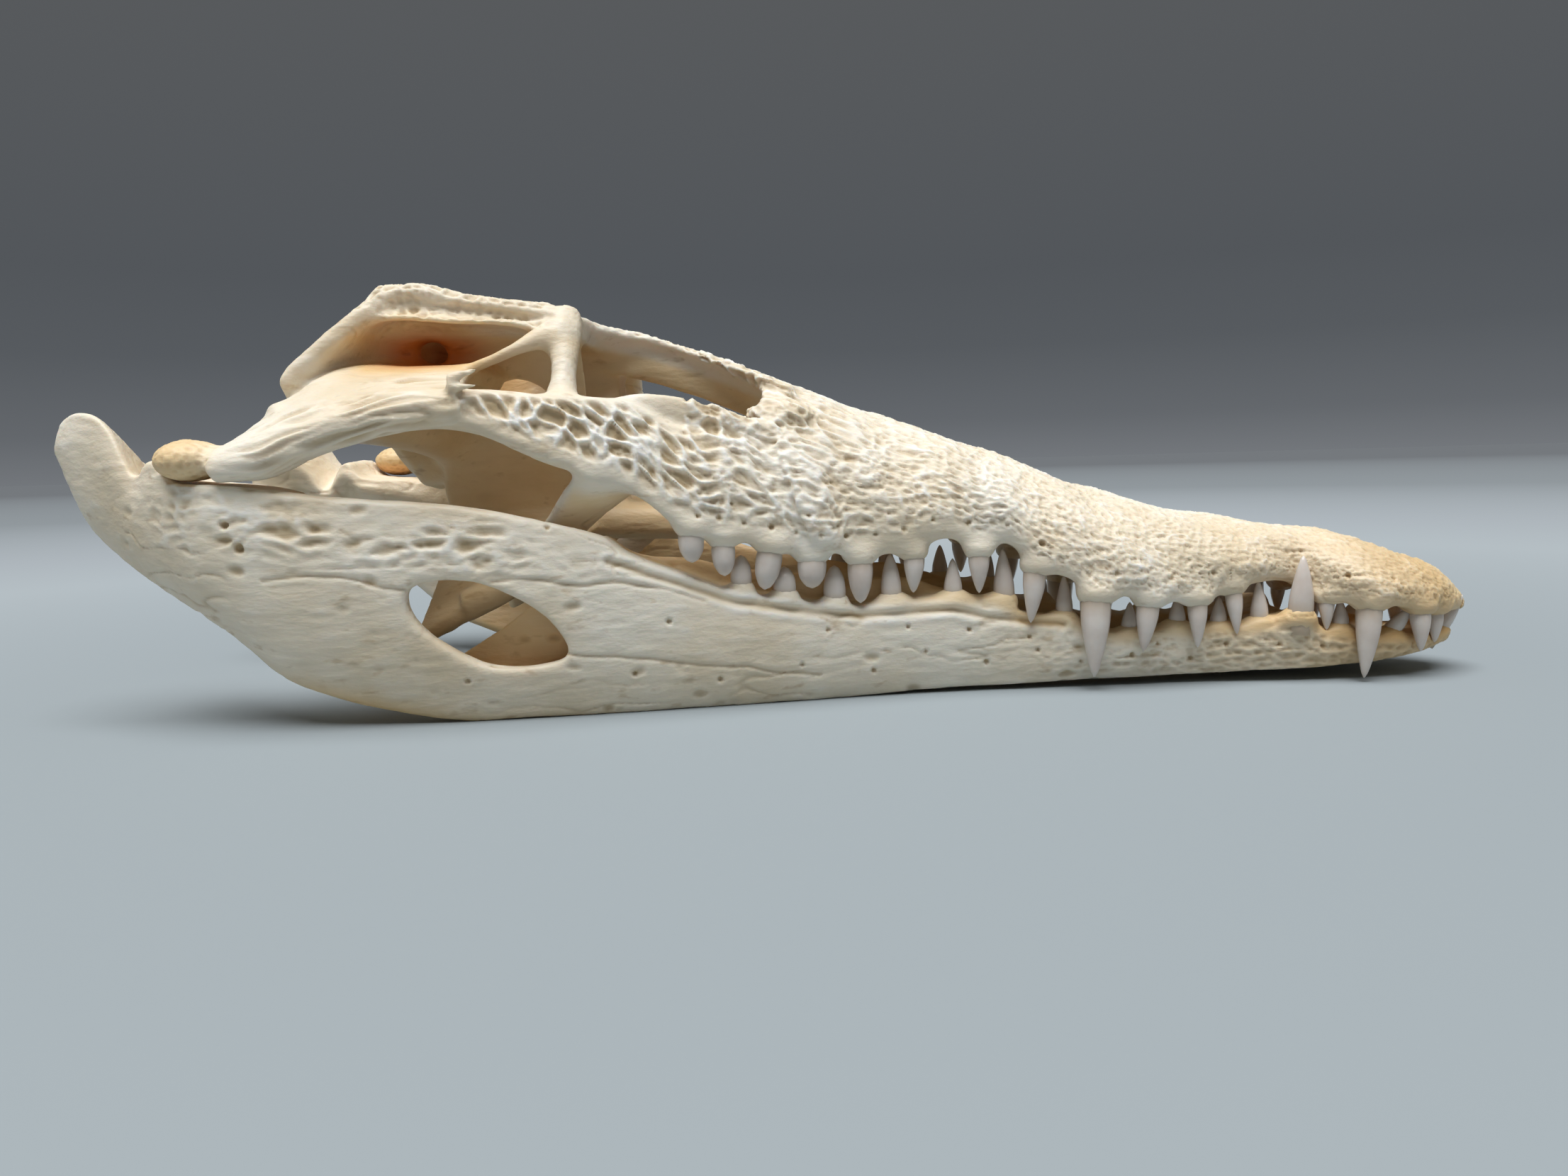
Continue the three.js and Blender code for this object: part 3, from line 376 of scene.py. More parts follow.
def snout_ring(x):
    wide, top, margin = cranium_width(x) - 1.5 * (1 - ease(x, -3, 9)), cranium_top(x), upper_margin(x)
    shrink = min(1, wide / 14)
    shoulder = margin + 3 * shrink
    power = snout_power(x)
    floor = [(0, shoulder), (wide * 0.5, shoulder), (wide - 6 * shrink, margin + 0.6 * shrink),
             (wide - 1.3 * shrink, margin + 0.3 * shrink)]
    degrees = np.array([4, 18, 34, 52, 71])
    turn, swell = np.radians(degrees), ripple(x, degrees)
    arch = list(zip(wide * np.cos(turn) ** (2 / power) + swell * np.cos(turn),
                    shoulder + (top - shoulder) * np.sin(turn) ** (2 / power) + swell * np.sin(turn)))
    half = floor + arch
    slope = ease(-x, -22, 6) * 13
    both_sides = half + [(0, top + ripple(x, 90))] + [(-y, z) for y, z in half[:0:-1]]
    return np.array([(x + slope * (top - z) / (top - margin), y, z) for y, z in both_sides])


def cheek_ring(x):
    wide, high, low = cranium_width(x) - 1.5 * ease(x, 3, 12), cheek_top(x), cheek_bottom(x)
    thick = 7 if x > -30 else 5.6
    tall = high - low
    arched = ease(x, -38, -12)

    def lean_at(z):
        return arched * (wide - snout_side(x, z)) + (1 - arched) * 0.14 * (z - low)

    middle = low + 0.55 * tall
    lean = lean_at(high - 0.8)
    half = [(wide - 1.2, low + 0.4), (wide, low + 2.5), (wide - lean_at(middle), middle),
            (wide - lean - 0.6, high - 0.8), (wide - lean - 0.75 * thick, high - 0.8),
            (wide - lean - 0.6 * thick - 1, low + 0.7 * tall), (wide - thick, low + 1.5),
            (wide - 0.7 * thick, low)]
    return right_side(x, half)


def mirrored_ring(x, half, middle_low, middle_high, sweep=lambda y: 0):
    points = [(0, middle_high)] + half + ([(0, middle_low)] if middle_low else [])
    points += [(-y, z) for y, z in reversed(half)]
    return np.array([(x - sweep(y), y, z) for y, z in points])


forehead_half = curve(
    (-52, 33), (-47, 27), (-42, 17), (-36, 11.2), (-26, 9.4), (-18, 11), (-10, 15), (-3, 20), (6, 22))
forehead_edge = curve((-52, 91), (-41, 88), (-32, 86.3), (-22, 83), (-15, 80.3), (-7, 76.9), (3, 72))
forehead_under = curve((-52, 80), (-41, 77), (-33, 75.1), (-23, 71.7), (-16, 69), (-6, 64.5), (6, 60))


def forehead_ring(x):
    wide, rim, low = forehead_half(x), forehead_edge(x), forehead_under(x)
    half = [(wide * 0.5, rim - 0.9), (wide - 2.5, rim - 0.1), (wide - 0.4, rim - 0.6), (wide, rim - 2),
            (wide * 0.8, rim - 4), (7.5, low + 3.5), (6.2, low), (3.4, low + 1.5)]
    return mirrored_ring(x, half, None, rim - 1.4)


table_half = curve((-90, 36.5), (-80, 37.6), (-66, 36), (-52, 34), (-46, 31.5), (-43, 27))
table_top = curve((-88, 95.2), (-81, 96), (-75, 95.3), (-67, 93.5), (-59, 92.4), (-50, 91), (-43, 88.6))
table_under = curve((-88, 88.4), (-69, 87.2), (-60, 86), (-52, 84.4), (-43, 83))


def table_ring(x):
    wide, high, low = table_half(x), table_top(x), table_under(x)
    half = [(wide * 0.55, high - 1.3), (wide - 4, high - 0.2), (wide - 1, high - 0.9), (wide, high - 2.6),
            (wide - 1.6, low + 2.6), (wide - 0.2, low + 1), (wide - 2.4, low), (wide * 0.5, low - 0.5)]
    amount = ease(-x, 66, 88)
    return mirrored_ring(x, half, low - 0.5, high - 1.6, lambda y: (8 * (y / 38) ** 2 - 11) * amount)


braincase_width = curve((-92, 12), (-84, 17), (-78, 19), (-66, 17.5), (-54, 14.5), (-46, 10), (-38, 5.5))


def braincase_ring(x):
    wide = braincase_width(x)
    low, roof = (51 if x < -80 else 43), 86
    profile = [(0.3, 0), (0.72, 0.02), (0.78, 0.2), (0.98, 0.42), (1, 0.55), (0.7, 0.72), (0.62, 0.9),
               (0.7, 1)]
    half = [(share * wide, low + rise * (roof - low)) for share, rise in profile]
    return np.array([(x, y, z) for y, z in half] + [(x, -y, z) for y, z in reversed(half)])


def oval(centre_x, centre_y, radius_x, radius_y, z, count=24):
    turn = turns(count)
    x, y = centre_x + radius_x * np.cos(turn), centre_y + radius_y * np.sin(turn)
    return np.stack([x, -y, 0 * turn + z], -1)


# Sheets as grids of (x, y, z, thickness)
BACK_WALL = [
    [(-81, 0, 93, 6), (-85, 0, 83, 6), (-87, 0, 73, 6), (-88, 0, 62, 6), (-87, 0, 52, 6)],
    [(-82, 13, 93.6, 6), (-86, 14, 84, 6), (-89, 15, 75, 6), (-90, 14, 66, 6), (-88, 12, 56, 6)],
    [(-83, 26, 94, 5), (-88, 27, 87, 5), (-92, 28, 80, 5), (-95, 27, 74, 5), (-94, 25, 68, 5)],
    [(-83, 35, 93, 4.5), (-89.5, 38, 86.8, 5), (-96, 39, 81, 5), (-101, 39, 75, 5), (-101, 36, 69.5, 5)],
    [(-82.5, 37, 91.4, 3.5), (-89.5, 40.5, 85.4, 3.6), (-98, 42.4, 79.4, 3.6), (-104, 43, 75, 3.6),
     (-103.6, 41, 70.6, 3.6)]]
QUADRATE = [
    [(-63.5, 55.2, 67, 6), (-63.5, 50, 70.6, 4), (-65, 43, 73.6, 3.6), (-66, 34, 75.4, 4),
     (-64, 20, 75.5, 6)],
    [(-78, 57, 65, 6.5), (-79, 52, 69, 5), (-79, 45, 72.6, 5), (-79, 36, 75, 5), (-78, 18, 74, 8)],
    [(-91, 58.4, 61.4, 6.5), (-92, 54, 65.6, 6), (-92, 47, 70.2, 6), (-92, 39, 74.4, 6), (-88, 24, 75, 8)],
    [(-102, 59.8, 56.4, 6.5), (-102, 57, 59.8, 7), (-102, 51, 63.4, 7), (-101, 44, 67, 7),
     (-96, 34, 70.4, 6)],
    [(-112, 60.2, 55.8, 4.4), (-112, 58, 56.8, 5.6), (-112, 54, 57.4, 6.4), (-111, 49.5, 57.8, 6.6),
     (-108, 44, 59, 5)]]
EAR_WALL = [
    [(-45, 17, 66, 4), (-45, 21, 78, 4), (-45, 26, 87, 4)],
    [(-58, 15, 76, 4), (-59, 19, 82, 4), (-59, 25, 87.5, 4)],
    [(-74, 20, 75, 4), (-74, 23, 82, 4), (-74, 27, 89, 4)],
    [(-90, 26, 75, 4), (-90, 28, 83, 4), (-88, 31, 90, 4)]]
PALATE_WING = [
    [(-45, 2, 41, 6), (-46, 12, 39.6, 5), (-48, 22, 36.4, 4), (-51, 30, 32, 4)],
    [(-56, 2, 42, 7), (-58, 14, 39.6, 6), (-61, 25, 33, 4.4), (-63, 33, 25.4, 4.4)],
    [(-68, 2, 43, 7), (-69, 14, 40, 6), (-71, 26, 29.6, 4), (-73, 34.6, 20, 4.4)],
    [(-77, 2, 45, 6), (-77, 13, 41.4, 5), (-79, 26, 26.6, 3.2), (-81, 35, 15.6, 3.6)]]

# Bars as (x, y, z, half width, half height) stations
NOSE_PASSAGE = [(146, 0, 34, 4, 4), (146, 0, 24, 3.2, 3.2), (147, 0, 6, 2.8, 2.8)]
SOCKET_CREST = [
    (-36, 42, 66, 1.4, 2.2), (-26, 39, 66.6, 1.4, 3.2), (-16, 35.6, 65, 1.4, 3.4), (-8, 33, 62.6, 1.5, 3),
    (0, 30.5, 60, 2, 2.6)]
EAR_STRUT = [
    (-70, 37, 74.6, 1.6, 1.4), (-62, 38.6, 77, 1.4, 1.2), (-55, 38.6, 79.8, 1.5, 1.3),
    (-49, 37, 82.4, 2.2, 2.4), (-45, 34, 83.6, 2.6, 3)]
EAR_LIP = [
    (-90, 37.4, 87.2, 1.2, 0.8), (-80, 38.4, 87.8, 1.2, 0.8), (-68, 37.4, 86.8, 1.2, 0.8),
    (-56, 35.6, 86.2, 1.2, 0.8), (-49, 33.5, 84.4, 1.6, 1.4)]
CHEEK_SPINES = [
    [(-64, 54.6, 72.8, 1.7, 1.2), (-60, 54.4, 74, 1.0, 0.8), (-56.4, 53.6, 75.2, 0.4, 0.4)],
    [(-64, 55, 70.8, 1.6, 1.0), (-60, 54.8, 71.2, 0.9, 0.7), (-55.6, 54, 71.7, 0.4, 0.4)]]
BACK_BRACE = [(-104, 48, 64, 5, 5), (-94, 38, 66, 6, 5), (-84, 26, 66, 7, 7), (-76, 12, 64, 7, 9)]
BAR_BEHIND_EYE = [
    (-46.5, 29.5, 87, 5, 4), (-44.8, 33, 83.6, 4.2, 3.4), (-44, 37, 78, 3, 2.8),
    (-43.6, 40, 72.6, 2.7, 2.9), (-43.6, 44.4, 66, 4.6, 3.4)]
PALATE_BAR = [
    (14, 0, 38.6, 12, 4), (2, 0, 39, 8.6, 4.4), (-14, 0, 39.6, 7.4, 4.6), (-30, 0, 40.4, 8, 4.6),
    (-44, 0, 41, 10, 4.6), (-56, 0, 41.6, 12, 4.2)]
PALATE_STRUT = [
    (-70, 34, 24, 3, 3), (-60, 33, 29, 4, 3.4), (-50, 34, 37, 5, 3), (-41, 38, 46, 6.5, 3),
    (-33, 43.6, 52, 8, 3)]

# Balls as a centre and radii, and the ovals through the roof as radii and height
NOSTRIL = (146, 0, 33), (8.5, 7, 10.5)
SPINAL_OPENING = np.array([-91, 0, 70.5])
REAR_KNOB = (-93, 0, 62.4), (4.6, 6, 4.4)
NERVE_HOLES = [((-93.5, 11, 66), (4, 0.9, 1.1)), ((-94.5, 14.6, 64.6), (4, 0.8, 0.8))]
MEATUS = np.array([-77.7, 26, 81])
JOINT = (-119.6, 54.8, 57.8)
JOINT_SIZE = np.array([7, 7.8, 4.4])
BROW = (1.5, 24.6, 64.6), (7.5, 5, 3.6)
ROOF_HOLE = [(6.6, 4.2, 72), (7.6, 5.2, 86), (9.6, 7.2, 100)]


def cranium_clay():
    """The right half of the cranium, up to the midline."""
    clay = Clay((-131, -67, 10), (169, 0, 99))
    clay.add(sections(snout_ring, -4, TIP, 1.2))
    clay.add(sections(forehead_ring, -50, 4), sections(table_ring, -89, -43), blend=2.5)
    clay.add(sections(braincase_ring, -88, -39), blend=3.0)
    clay.cut(loft([oval(-64, 14.6, *size) for size in ROOF_HOLE]))
    clay.cut(ball(*NOSTRIL))
    clay.cut(bar(NOSE_PASSAGE, up=(1, 0, 0)))
    clay.add(sheet(BACK_WALL), blend=3.0)
    clay.cut(ball(SPINAL_OPENING, (11, 5.6, 4.4)), blend=1.5)
    clay.add(ball(*REAR_KNOB))
    clay.cut(*[ball(*hole) for hole in NERVE_HOLES], blend=0.6)
    clay.add(sections(cheek_ring, -112, 12), blend=2.0)
    clay.add(bar(SOCKET_CREST), blend=1.2)
    clay.add(sheet(QUADRATE), ball(JOINT, JOINT_SIZE), blend=2.4)
    clay.add(sheet(EAR_WALL), blend=3.0)
    clay.cut(ball(MEATUS, (3.4, 6, 2.8)), blend=1.6)
    clay.add(bar(EAR_STRUT), blend=2.0)
    clay.add(bar(EAR_LIP), blend=1.6)
    clay.add(*[bar(spine) for spine in CHEEK_SPINES], blend=1.0)
    clay.add(bar(BACK_BRACE), bar(BAR_BEHIND_EYE, up=(0, 1, 0)), ball(*BROW), blend=3.0)
    clay.add(bar(PALATE_BAR, power=2.8), blend=2.5)
    clay.add(sheet(PALATE_WING), blend=2.0)
    clay.add(bar(PALATE_STRUT, up=(0.3, 0, 1)), blend=2.5)
    clay.grow_sockets(UPPER_TEETH)
    clay.soften(2)
    clay.clear_teeth(LOWER_TEETH)
    return clay


# Shapes of the lower jaw

def jaw_ring(x):
    wide, top, low, lean = jaw_outer(x), jaw_top(x), jaw_bottom(x), jaw_lean(x)
    high = top - low
    inside = max(GAP / 2, wide - jaw_head(x))
    body = max(GAP / 2, wide - jaw_body(x))
    keel = max(0.87 * wide, wide - 8)
    taper, inner_high = wide - keel, high - lean
    heel = max(GAP / 2, min(keel - 3, body + 2))
    lip = min(2.2, 0.3 * (wide - inside))
    half = [(wide - lip, top), (wide - 0.35 * lip, top - 0.07 * high), (wide, top - 0.26 * high),
            (wide - 0.1 * taper, low + 0.46 * high), (wide - 0.35 * taper, low + 0.24 * high),
            (wide - 0.7 * taper, low + 0.08 * high), (keel, low), (heel, low + 0.02 * high),
            (body, low + 0.14 * high), (body, low + 0.4 * high),
            (0.6 * body + 0.4 * inside, low + 0.62 * inner_high), (inside, low + 0.84 * inner_high),
            (inside + 0.3 * lip, low + 0.95 * inner_high), (inside + lip, low + 0.99 * inner_high)]
    return right_side(x, half)


def hollow_ring(x):
    wide, top, low = jaw_outer(x), jaw_top(x), jaw_bottom(x)
    inner, floor = wide - jaw_head(x) + 3, low + 5.5
    half = [(inner, floor), (wide - 9.4, floor), (wide - 6.4, low + 0.3 * (top - low)),
            (wide - 4.4, low + 0.6 * (top - low)), (wide - 6.4, top + 5), (inner, top + 5)]
    return right_side(x, half)


def opening_ring(x):
    wide, top, wall = jaw_outer(x), jaw_top(x), jaw_inner_wall(x)
    half = [(wide - 30, wall), (wide - 8, wall), (wide - 6.8, top + 5), (wide - 30, top + 5)]
    return right_side(x, half)


def tooth_points(entry, sides=18, rows=14, grow=0.0):
    """A swollen, slightly curved cone with fine ridges, right side."""
    base, tip = np.array(entry[:6]).reshape(2, 3) * [1, -1, 1]
    along = tip - base
    length = norm(along)
    along /= length
    across = unit(np.cross(along, [0, 1, 0]))
    rise = np.cross(across, along)
    root = -ROOT_DEPTH / length
    share = np.concatenate([[root, root / 2], np.linspace(0, 1, rows) ** 0.85])
    pointed = curve((root, 0.86), (0, 0.95), (0.3, 0.9), (0.6, 0.66), (0.85, 0.36), (0.95, 0.2), (1, 0.05))
    rounded = curve((root, 0.86), (0, 0.98), (0.3, 1.08), (0.6, 1.0), (0.85, 0.66), (0.95, 0.4), (1, 0.05))
    blunt = 1 - ease(entry[0], 5, 40)
    turn = turns(sides)
    ridge = 1 + 0.02 * np.cos(turn * 9)
    outline = (1 - blunt) * pointed(share) + blunt * rounded(share)
    size = (outline[:, None] * entry[6] + grow) * ridge
    bow = 0.35 * np.sin(np.clip(share, 0, 1) * np.pi)[:, None, None] * rise
    centre = base + along * (share * length)[:, None]
    rings = (centre[:, None] - bow + across * (size * np.cos(turn))[..., None]
             + rise * (size * 0.88 * np.sin(turn))[..., None])
    return rings


def jaw_clay():
    clay = Clay((-163, -66, -3), (166, 0, 72))
    clay.add(sections(jaw_ring, JAW_BACK, 161, 1.2))
    clay.cut(sections(hollow_ring, -97, -39), sections(opening_ring, -99, -37), blend=2.0)
    window = finer(JAW_WINDOW, 3, closed=True)
    near = [(x, 8.6 - jaw_outer(x), z) for x, z in window]
    clay.cut(loft([near, [(x, -70, z) for x, z in window]]), blend=1.6)
    clay.grow_sockets(LOWER_TEETH)
    inner_rim = [(x, jaw_outer(x) - jaw_head(x) + 1.7, jaw_top(x) + rim_rise(x) - 3.4, 1.6, 3.4)
                 for x in range(-32, 45, 4)]
    clay.add(bar(inner_rim, steps=3), blend=2.0)
    clay.soften(2)
    clay.cut(ball(JOINT, JOINT_SIZE + GAP), blend=0.5)
    clay.clear_teeth(UPPER_TEETH)

    # Room below the rear end of the cheek, and a level cut under the floor and at the midline
    shelf = [(-118, -40), (-100, -40), (-100, -70), (-118, -70)]
    clay.cut(loft([[(x, y, z) for x, y in shelf] for z in (53.1, 70)]), blend=0.6)
    clay.field = np.maximum(clay.field, -heights(clay, 2))
    clay.field = np.maximum(clay.field, heights(clay, 1) + GAP / 2)
    return clay


def heights(clay, axis):
    """The coordinate along one axis at every voxel, in mm."""
    line = (np.arange(clay.field.shape[axis]) + clay.low[axis]) * GRAIN
    shape = [1, 1, 1]
    shape[axis] = -1
    return line.reshape(shape).astype(np.float32)


# Noise, worked out point by point

def scrambled(cell, seed):
    """A repeatable random number from 0 to 1 for each whole-number cell."""
    part = cell.astype(np.int64) * np.array([73856093, 19349663, 83492791])
    mixed = (part[..., 0] ^ part[..., 1] ^ part[..., 2]) + seed * 374761393
    mixed = (mixed ^ (mixed >> 13)) * 1274126177
    mixed = (mixed ^ (mixed >> 16)) & 0xFFFFFF
    return (mixed / 0xFFFFFF).astype(np.float32)


def soft_noise(points, size, seed):
    """Smooth noise from -1 to 1 with features of the given size, a number or one for each axis."""
    p = points / np.asarray(size, np.float32)
    cell = np.floor(p)
    t = p - cell
    t = t * t * (3 - 2 * t)
    total = np.zeros(len(p), np.float32)
    for corner in np.ndindex(2, 2, 2):
        weight = np.prod(np.where(corner, t, 1 - t), axis=1)
        total += weight * scrambled(cell + corner, seed)
    return total * 2 - 1


def cells(points, size, seed):
    """Distance to the nearest and the second nearest of scattered points, in cell sizes."""
    p = points / np.asarray(size, np.float32)
    home = np.floor(p)
    first = np.full(len(p), 9, np.float32)
    second = first.copy()
    for step in np.ndindex(3, 3, 3):
        cell = home + np.array(step) - 1
        away = np.zeros(len(p), np.float32)
        for axis in range(3):
            jitter = scrambled(cell, seed + 11 * axis)
            away += (cell[:, axis] + 0.15 + 0.7 * jitter - p[:, axis]) ** 2
        second = np.minimum(second, np.maximum(first, away))
        first = np.minimum(first, away)
    return np.sqrt(first), np.sqrt(second)


def normals(points, quads):
    a, b, c, d = (points[quads[:, k]] for k in range(4))
    cross = np.cross(c - a, d - b)
    total = [np.bincount(quads.ravel(), np.repeat(cross[:, k], 4), len(points)) for k in range(3)]
    total = np.stack(total, -1)
    return (total / (norm(total, axis=1, keepdims=True) + 1e-12)).astype(np.float32)


def bump(value, centre, half_width):
    return np.exp(-((value - centre) / half_width) ** 2)


# Carving the bone's surface: each part works out how far the surface sinks, in mm

# Cells of the pattern passed so far along X: small and round on the cheek, long on the snout, fine in front
cells_along = curve((-130, -12), (-66, 0), (-30, 7.6), (-10, 11), (40, 18), (60, 23), (80, 30), (TIP, 68))
cell_height = curve((-66, 4.4), (-30, 3.4), (0, 2.8), (50, 2.4), (90, 2.0))
pit_depth = curve((-66, 1.5), (-40, 1.75), (-22, 1.35), (5, 0.9), (50, 0.72), (90, 0.6), (TIP, 0.5))
# Small holes for blood vessels as (x, z, radius), on the outer faces
CHEEK_HOLES = [
    (-15, 43.2, 0.5), (-10.6, 42.4, 0.6), (-5.4, 41.2, 0.5), (0.4, 40.2, 0.65), (5.6, 38.6, 0.5),
    (11, 38, 0.55), (16.6, 37.5, 0.6), (23, 37.6, 0.5), (29.4, 38.4, 0.6), (36, 40.4, 0.5),
    (44, 39.4, 0.6), (52.6, 38.6, 0.5), (60.4, 34.4, 0.7), (66, 31, 0.5), (77, 27.2, 0.6),
    (90, 25.6, 0.5), (100, 26.4, 0.6), (130, 25, 0.6), (141, 24, 0.5), (-8, 45.6, 0.4), (8.6, 42.4, 0.4),
    (26, 42.2, 0.45), (-41, 88.4, 0.5)]
JAW_HOLES = [
    (-108, 39.6, 1.0), (-110.7, 44.4, 0.8), (-46.4, 41.8, 0.6), (-22.2, 20.4, 0.6), (-64.6, 9.5, 0.6),
    (-30, 9, 0.5), (-12, 6.6, 0.6), (6, 8.8, 0.5), (22, 6.4, 0.6), (34, 10.2, 0.5), (48, 7, 0.6),
    (60, 9.4, 0.5), (70, 6.2, 0.5), (82, 7.4, 0.6), (96, 6, 0.5), (12, 16.4, 0.5), (30, 16.2, 0.5),
    (44, 14.8, 0.55), (58, 12.6, 0.5), (74, 10.6, 0.55), (88, 9.8, 0.5), (104, 9.2, 0.6), (116, 9, 0.5),
    (126, 8.2, 0.6), (138, 7.8, 0.5), (148, 8, 0.5)]
# Seams between the bones of the lower jaw, as (x, z) lines on the outer face
JAW_SEAMS = [
    [(-58, 30.6), (-52, 31), (-45, 29.9), (-33, 29.2), (-24, 27.8), (-14, 24.4)],
    [(-44, 15), (-34, 13.6), (-22, 11), (-6, 9.4), (10, 6.2)],
    [(-104, 33), (-94, 33.4), (-84, 32), (-75, 30)]]
LIP_GROOVE = [
    (-34.2, 33.8), (-22, 29.2), (-8, 24), (4, 21.4), (18, 19.2), (40, 19.6), (54, 16.6), (66, 14.8)]


def holes(points, outside, places):
    """Small round holes on the outer faces."""
    drop = np.zeros(len(points), np.float32)
    for x, z, radius in places:
        away = norm(points[:, [0, 2]] - [x, z], axis=1)
        near = outside & (away < 4 * radius)
        drop[near] += 1.5 * radius * np.exp(-(away[near] / radius) ** 4)
    return drop


def line_distance(points, line):
    """How far each point is from a line of (x, z) places, seen from the side."""
    spot = points[:, [0, 2]]
    best = np.full(len(points), 99, np.float32)
    for start, stop in zip(np.array(line[:-1], float), np.array(line[1:], float)):
        way = stop - start
        share = np.clip(((spot - start) @ way) / (way @ way), 0, 1)
        best = np.minimum(best, norm(spot - start - share[:, None] * way, axis=1))
    return best


def pattern(across, ridge, seed):
    """Pits from 0 on the thin ridges between them to 1 on their floors."""
    near, next_near = cells(across, 1.0, seed)
    return ease(next_near - near, 0.03, ridge)


def pits(points, share, size, ridge, seed, level=0.0):
    """The pattern with cells of a size in mm, less a level, where the share of it is not faint."""
    out = np.zeros(len(points))
    where = share > FAINT
    out[where] = share[where] * (pattern(points[where] / size, ridge, seed) - level)
    return out


def joint_cap(points, shift, reach, edge):
    """1 on the cap of the jaw joint, to 0 around it."""
    away = norm((points - (np.array(JOINT) - [shift, 0, 0])) * [1, 0, 1], axis=1)
    return ease(reach - away, 0, edge) * (np.abs(points[:, 1]) > 44)


def carve_cranium(points, normal):
    x, y, z = points.T
    side, out = np.abs(y), normal[:, 1] * np.sign(y)
    edge = np.where(x < 0, cheek_bottom(x), upper_margin(x))
    above = z - edge
    tall = np.where(x < -22, cheek_top(x), cranium_top(x)) - edge
    level = above * (1 + ease(x, -25, 15) * (32 / np.maximum(tall, 6) - 1))
    wander = np.stack([soft_noise(points, 7, seed) for seed in (3, 4, 5)], -1)

    cheek = (side > 33) & (out > 0.1) & (z < cheek_top(x) - 0.5) & (x < -18)
    snout = (x >= -18) & ((out > 0.02) | (normal[:, 2] > 0.2)) & (side > 0)
    socket_wall = (x < 2) & (side < snout_side(x, z) - 5) & (normal[:, 2] < 0.45)
    where = (cheek | snout) & (above > 0.5) & (x > -104) & ~socket_wall
    bare = 2.5 - 2.2 * ease(x, 40, 70)
    strength = ease(above, bare, bare * 1.6 + 3) * ease(x, -70, -56)
    strength *= np.where(cheek, ease(cheek_top(x) - z, 0.6, 3.0), 1)
    p = points[where] + wander[where] * [1.6, 0.8, 0.8]
    across = np.stack([cells_along(p[:, 0]), p[:, 1] / 3.4,
                       (level[where] + 0.9 * wander[where, 2]) / cell_height(p[:, 0])], -1)
    large = pattern(across, 0.42, 7)
    small = pattern(across * 2.1 + 0.3 * wander[where], 0.5, 19)
    share = ease(x[where], -30, 20)
    amount = large * (0.78 - 0.25 * share) + small * (0.22 + 0.25 * share)
    drop = np.zeros(len(points), np.float32)
    rough = 0.13 * soft_noise(p, (1.6, 1.1, 1.1), 51) + 0.10 * soft_noise(p, (5, 1.5, 1.2), 52)
    drop[where] = strength[where] * (pit_depth(x[where]) * (amount - 0.3) + rough)

    # Ridges along the rear end of the cheek
    rear = bump(x, -84, 20) * (side > 45) * (out > 0.2) * (z < cheek_top(x) + 4)
    where = rear > 0.03
    p = points[where] + wander[where]
    along = np.stack([p[:, 0] / 22, p[:, 1] / 4, (p[:, 2] - cheek_bottom(p[:, 0])) / 2.3], -1)
    drop[where] += rear[where] * 0.8 * pattern(along, 0.5, 29)

    # Pits on the flat roof and along its edges
    band = np.where(x < -43, 6, 2.2)
    roof = (1 - ease(x, -22, -12)) * ((normal[:, 2] > 0.5) | (out > 0.3)) * (side < 40)
    roof = roof * ease(z - forehead_edge(x) + band, 0, 1) * ease(normal[:, 0], -0.75, -0.4)
    roof = roof * (1 - 0.9 * bump(x, -44, 4.5) * (z < 90))
    uneven = points + 0.6 * wander
    flat = ease(normal[:, 2], 0.3, 0.7)
    drop += pits(uneven, roof, [3.2, 3.0, 2.4], 0.5, 37) * (0.15 + 0.5 * flat)
    drop += pits(uneven, roof, 1.8, 0.6, 38) * 0.2
    drop += holes(points, out > 0.2, CHEEK_HOLES)

    # The joint's rough cap, and porous bone near the front end
    drop += pits(points, joint_cap(points, 1, 9.5, 2), 1.7, 0.6, 43) * 0.28
    return drop + ease(x, 90, 125) * 0.12 * soft_noise(points, 1.7, 53)


